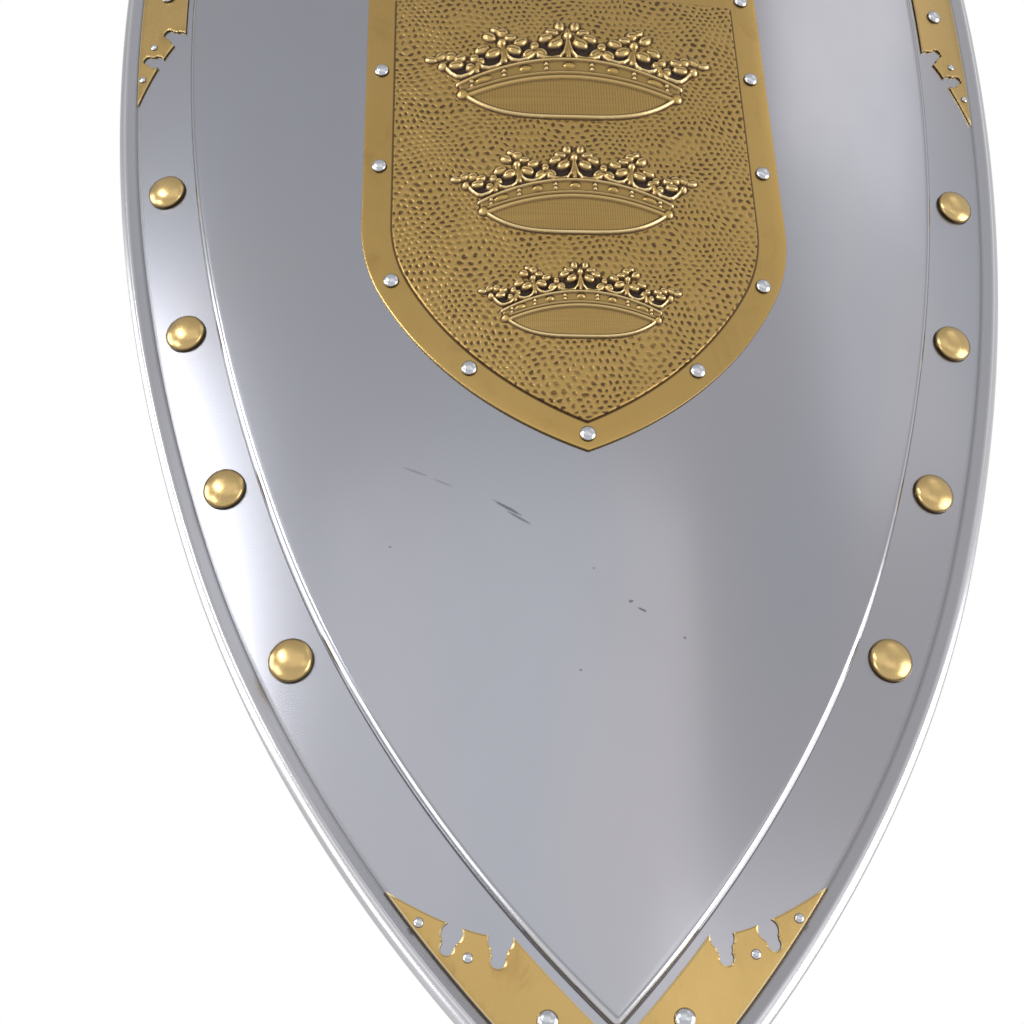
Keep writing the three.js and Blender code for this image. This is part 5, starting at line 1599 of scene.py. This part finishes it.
class SHIELD_OT_escutcheon(bpy.types.Operator):
    """Brass escutcheon: border, hammered panel and crowns"""

    bl_idname = "shield.escutcheon"
    bl_label = "Escutcheon"

    def execute(self, context):
        size, finishes = held_sizes(context)
        border = brass_finish("border_brass", finishes, 0.2, tarnish=0.3)
        add_piece("escutcheon_border", escutcheon_mesh(size), border, "shield", ["escutcheon_plate"])
        panel = brass_finish("panel_brass", finishes, 0.26, hammered=True)
        add_piece("hammered_panel", panel_mesh(size), panel, "shield")
        crown = brass_finish("crown_brass", finishes, 0.22, hatched=True)
        for where, (scale, height) in CROWNS.items():
            name = f"crown_{where}"
            add_piece(name, crown_mesh(name, scale, height, size), crown, "shield")
        return {"FINISHED"}


class SHIELD_OT_fasteners(bpy.types.Operator):
    """Rivets, studs and pins on the front"""

    bl_idname = "shield.fasteners"
    bl_label = "Rivets and studs"

    def execute(self, context):
        size, finishes = held_sizes(context)
        f, ahead = size.fastener, faces_ahead(size)
        silver = silver_finish("rivet_silver", finishes)
        stud_brass = brass_finish("stud_brass", finishes, 0.19, pale=0.55)
        border = domed_profile(f.border_radius, f.border_height, ahead.border, size, f.rivet_lip)
        for i, place in enumerate(border_rivet_places(size)):
            node = f"escutcheon_rivet_{i + 1}"
            add_piece(f"dome_{node}", fastener_mesh(node, border, place, size), silver, "shield", [node])
        stud = domed_profile(f.stud_radius, f.stud_height, 0.0, size, f.stud_lip)
        for node, place in stud_places(size).items():
            add_piece(f"dome_{node}", fastener_mesh(node, stud, place, size, 48), stud_brass, "shield", [node])
        rivet = domed_profile(f.mount_radius, f.mount_height, ahead.mount, size, f.rivet_lip)
        pin = pin_profile(ahead.mount, size)
        for where, arms in corner_arms(size).items():
            for i, arm in enumerate(arms):
                node = f"mount_rivet_{where}_{i + 1}"
                place = arm(f.mount_reach, size.plate.band_width / 2)
                add_piece(f"dome_{node}", fastener_mesh(node, rivet, place, size), silver, "shield", [node])
                for k, (reach, across) in enumerate(PINS):
                    name = f"pin_{where}_{i + 1}_{k + 1}"
                    mesh = fastener_mesh(name, pin, arm(reach, across), size, 18)
                    add_piece(name, mesh, silver, "shield")
        return {"FINISHED"}


class SHIELD_OT_mounts(bpy.types.Operator):
    """Pierced corner mounts"""

    bl_idname = "shield.corner_mounts"
    bl_label = "Corner mounts"

    def execute(self, context):
        size, finishes = held_sizes(context)
        brass = brass_finish("mount_brass", finishes, 0.2, pale=0.15, tarnish=0.5)
        for where, arms in corner_arms(size).items():
            name = f"pierced_mount_{where}"
            mesh = mount_mesh(name, arms, where, size)
            add_piece(name, mesh, brass, "shield", [f"corner_mount_{where}"])
        return {"FINISHED"}


class SHIELD_OT_straps(bpy.types.Operator):
    """Leather straps with their stitching, rivets and washers"""

    bl_idname = "shield.straps"
    bl_label = "Straps"

    def execute(self, context):
        size, finishes = held_sizes(context)
        s = size.strap
        leather = leather_finish("strap_leather", finishes)
        thread = thread_finish("strap_thread", finishes)
        steel = steel_finish("rivet_steel", finishes)
        for node, offset, width, span, standoff in (
            ("forearm_strap", s.arm_offset, s.arm_width, s.arm_span, s.arm_standoff),
            ("hand_grip", s.grip_offset, s.grip_width, s.grip_span, s.grip_standoff),
        ):
            path, ahead = strap_path(span, standoff, size)
            section = rounded_bar(width, s.thickness, s.edge)
            points, faces = closed_grid(standing(swept(path, ahead, section), offset, s.line_height, size))
            edge = np.clip((np.abs(section[:, 0]) - (width / 2 - 1.6)) / 1.2, 0, 1)
            marks = {"edge": np.concatenate([np.tile(edge, len(path)), [1, 1]])}
            mesh = mesh_from(f"{node}_leather", points, faces, marks, sharp=60.0)
            add_piece(f"{node}_leather", mesh, leather, "shield", [node])
            stitches = stitch_mesh(node, path, ahead, width, offset, size)
            add_piece(f"{node}_stitches", stitches, thread, "shield")
            for side, end in ((-1, "lower"), (1, "upper")):
                height = s.line_height + side * (span + s.tab) / 2
                self.fasten(node, end, (offset, height), steel, size)
        return {"FINISHED"}

    def fasten(self, node, end, place, steel, size):
        """One rivet and its washer through a strap's tab."""
        f, gap, s = size.fastener, size.plate.seat_gap, size.strap
        washer_back = -size.plate.base_thickness - 3 * gap - s.thickness - f.washer_height
        front = gap + f.head_height
        head = [(f.head_radius - 0.3, gap), (f.head_radius, gap + 0.3)]
        head += [(f.head_radius, front - 0.4), (f.head_radius - 0.4, front), (0.3, front)]
        rivet = tail_and_shank(washer_back - gap, gap, FLAT_TAIL, size) + head
        name = f"{node}_rivet_{end}"
        add_piece(f"turned_{name}", fastener_mesh(name, rivet, place, size), steel, "shield", [name])
        name = f"{node}_washer_{end}"
        mesh = washer_mesh(name, washer_back, place, size)
        add_piece(f"turned_{name}", mesh, steel, "shield", [name])


class SHIELD_OT_hanger(bpy.types.Operator):
    """Folded clip, its rivets and the hanging ring"""

    bl_idname = "shield.hanger"
    bl_label = "Clip and ring"

    def execute(self, context):
        size, finishes = held_sizes(context)
        r, f, gap = size.ring, size.fastener, size.plate.seat_gap
        steel = steel_finish("hanger_steel", finishes)
        bar = swept(*clip_path(size), rounded_bar(r.clip_width, r.clip_thickness, 0.3, 2))
        mesh = clean_mesh("folded_clip", *closed_grid(standing(bar, 0.0, r.height, size)), sharp=50.0)
        add_piece("folded_clip", mesh, steel, "shield", ["hanger_clip"])
        tail, front = clip_front(size) - 2 * r.clip_thickness - r.clip_slit - gap, gap + f.head_height
        head = [(f.head_radius, gap + 0.1), (f.head_radius, front - 0.3), (0.3, front)]
        rivet = tail_and_shank(tail, gap, FLAT_TAIL, size) + head
        for side, name in ((-1, "left"), (1, "right")):
            place = (side * r.clip_spacing / 2, r.height + r.clip_leaf - r.clip_inset)
            node = f"hanger_clip_rivet_{name}"
            add_piece(f"turned_{node}", fastener_mesh(node, rivet, place, size), steel, "shield", [node])
        add_piece("hanging_ring_wire", ring_mesh(size), steel, "ring", ["hanging_ring"])
        return {"FINISHED"}


class SHIELD_OT_stage(bpy.types.Operator):
    """Camera, pale floor and soft studio light"""

    bl_idname = "shield.stage"
    bl_label = "Stage"

    def execute(self, context):
        scene = context.scene
        held = scene.shield_stage
        self.camera(scene, held)
        self.floor(scene, held)
        self.lights(scene)
        self.world(scene, held)
        scene.view_settings.view_transform = "Standard"
        return {"FINISHED"}

    def camera(self, scene, held):
        """The photograph's view: turned by the yaw, tipped by the pitch and leaned by the roll. The shift is half a
        pixel of the photograph."""
        lens = bpy.data.cameras.new("camera")
        lens.sensor_fit = "HORIZONTAL"
        lens.sensor_width = 36
        lens.lens = held.lens
        lens.shift_x = 0.5 / 1024
        lens.clip_start = 0.01
        lens.clip_end = 100
        camera = bpy.data.objects.new("camera", lens)
        scene.collection.objects.link(camera)
        facing = Matrix.Rotation(held.yaw, 3, "Z") @ Matrix.Rotation(held.pitch, 3, "X")
        right, ahead, up = facing.col[0].copy(), facing.col[1].copy(), facing.col[2].copy()
        cos, sin = math.cos(held.roll), math.sin(held.roll)
        side, top = right * cos + up * sin, up * cos - right * sin
        placed = Matrix((side, top, -ahead)).transposed().to_4x4()
        placed.translation = Vector(held.eye)
        camera.matrix_world = placed
        scene.camera = camera

    def floor(self, scene, held):
        """A flat pale floor. Cameras and mirrors see it nearly white, with the shield's shadow on it."""
        made, graph = material("paper")
        diffuse = graph.node("ShaderNodeBsdfDiffuse", {}, {"Color": held.paper})
        plain = graph.node("ShaderNodeEmission", {}, {"Color": (1, 1, 1), "Strength": held.floor_glow})
        path = graph.node("ShaderNodeLightPath")
        seen = path.out("Is Camera Ray").most(path.out("Is Glossy Ray")).most(path.out("Is Transmission Ray"))
        mixed = graph.node("ShaderNodeMixShader", {}, [seen * held.floor_white, diffuse.out(), plain.out()])
        graph.node("ShaderNodeOutputMaterial", {}, {"Surface": mixed.out()})
        half, high = held.floor_half, held.floor_height
        corners = [(-half, -half, high), (half, -half, high), (half, half, high), (-half, half, high)]
        mesh = bpy.data.meshes.new("floor")
        mesh.from_pydata(corners, [], [(0, 1, 2, 3)])
        mesh.materials.append(made)
        floor = bpy.data.objects.new("floor", mesh)
        scene.collection.objects.link(floor)

    def lights(self, scene):
        """Soft boxes, each at a distance and direction from a place that it faces. Azimuth 0 is straight ahead of the
        shield and positive to its +X side. Power is radiance times pi times area."""
        for name, aim, azimuth, elevation, distance, wide, high, turn, radiance in SOFT_BOXES:
            azimuth, elevation = math.radians(azimuth), math.radians(elevation)
            level = math.cos(elevation)
            way = Vector((math.sin(azimuth) * level, -math.cos(azimuth) * level, math.sin(elevation)))
            lamp = bpy.data.lights.new(name, "AREA")
            lamp.shape = "RECTANGLE"
            lamp.size, lamp.size_y, lamp.energy = wide, high, radiance * math.pi * wide * high
            light = bpy.data.objects.new(name, lamp)
            scene.collection.objects.link(light)
            light.visible_camera = False
            placed = (way.to_track_quat("Z", "Y").to_matrix() @ Matrix.Rotation(math.radians(turn), 3, "Z")).to_4x4()
            placed.translation = Vector(aim) + way * distance
            light.matrix_world = placed

    def world(self, scene, held):
        """White to the camera and to mirrors, weaker as a light, and in mirrors dimmer overhead and high on the left,
        in soft-edged bands of the direction's height and side."""
        world = bpy.data.worlds.new("studio")
        scene.world = world
        world.use_nodes = True
        graph = Graph(world.node_tree)
        path = graph.node("ShaderNodeLightPath")
        way = graph.apart(graph.node("ShaderNodeTexCoord").out("Generated"))
        overhead = way.out("Z").between(0.5, 0.97)
        left_high = (way.out("X") * -1.0).between(0.55, 0.72) * way.out("Z").between(0.42, 0.56)
        shiny = path.out("Is Glossy Ray") * (1.0 - overhead * 0.55) * (1.0 - left_high * 0.8)
        seen = path.out("Is Camera Ray").most(shiny).most(path.out("Is Transmission Ray"))
        strength = seen * (1.0 - held.daylight) + held.daylight
        backing = graph.node("ShaderNodeBackground", {}, {"Color": (1, 1, 1, 1), "Strength": strength})
        graph.node("ShaderNodeOutputWorld", {}, {"Surface": backing.out()})


# Name, faced place, azimuth and elevation in degrees, distance, width, height, turn in degrees, and radiance
SOFT_BOXES = [
    ("front", (0, 0, -0.3), -3, 10.5, 3.0, 2.3, 1.9, 0, 0.52),
    ("band", (-0.18, 0.015, -0.34), -40.5, 23, 2.2, 0.36, 0.92, 38, 13.5),
    ("glow", (0.12, 0, -0.2), 47, 46, 2.4, 0.7, 0.6, -15, 1.0),
    ("side", (0.12, 0, -0.2), 47, 31, 2.4, 0.8, 0.75, 0, 0.4),
    ("left", (-0.15, 0, -0.3), -92, 10, 2.2, 1.5, 1.4, 0, 5.0),
    ("low_left", (-0.1, 0, -0.3), -62, -15, 2.3, 0.8, 1.1, 0, 5.0),
    ("right", (0.1, 0, -0.35), 78, -13, 1.7, 1.65, 1.3, 0, 5.0),
    ("low_right", (0.08, 0, -0.48), 24, 1, 2.4, 1.1, 0.7, 0, 0.9),
    ("back", (0, 0, -0.3), 165, 30, 2.5, 1.6, 1.6, 0, 1.5),
]


OPERATORS = [
    SHIELD_OT_base,
    SHIELD_OT_field,
    SHIELD_OT_escutcheon,
    SHIELD_OT_fasteners,
    SHIELD_OT_mounts,
    SHIELD_OT_straps,
    SHIELD_OT_hanger,
    SHIELD_OT_stage,
]


class SHIELD_PT_panel(bpy.types.Panel):
    """Lists the shield's operators"""

    bl_label = "Heater shield"
    bl_idname = "SHIELD_PT_panel"
    bl_space_type = "VIEW_3D"
    bl_region_type = "UI"
    bl_category = "Shield"

    def draw(self, context):
        for operator in OPERATORS:
            self.layout.operator(operator.bl_idname)


def register():
    for group in (*SIZE_GROUPS.values(), *OTHER_GROUPS.values(), *OPERATORS, SHIELD_PT_panel):
        bpy.utils.register_class(group)
    for key, group in {**SIZE_GROUPS, **OTHER_GROUPS}.items():
        setattr(bpy.types.Scene, key, bpy.props.PointerProperty(type=group))


def unregister():
    for key in {**SIZE_GROUPS, **OTHER_GROUPS}:
        delattr(bpy.types.Scene, key)
    for group in (SHIELD_PT_panel, *OPERATORS[::-1], *OTHER_GROUPS.values(), *SIZE_GROUPS.values()):
        bpy.utils.unregister_class(group)


def main():
    """Registers the classes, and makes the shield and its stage."""
    register()
    for operator in OPERATORS:
        group, name = operator.bl_idname.split(".")
        getattr(getattr(bpy.ops, group), name)()


if __name__ == "__main__":
    main()
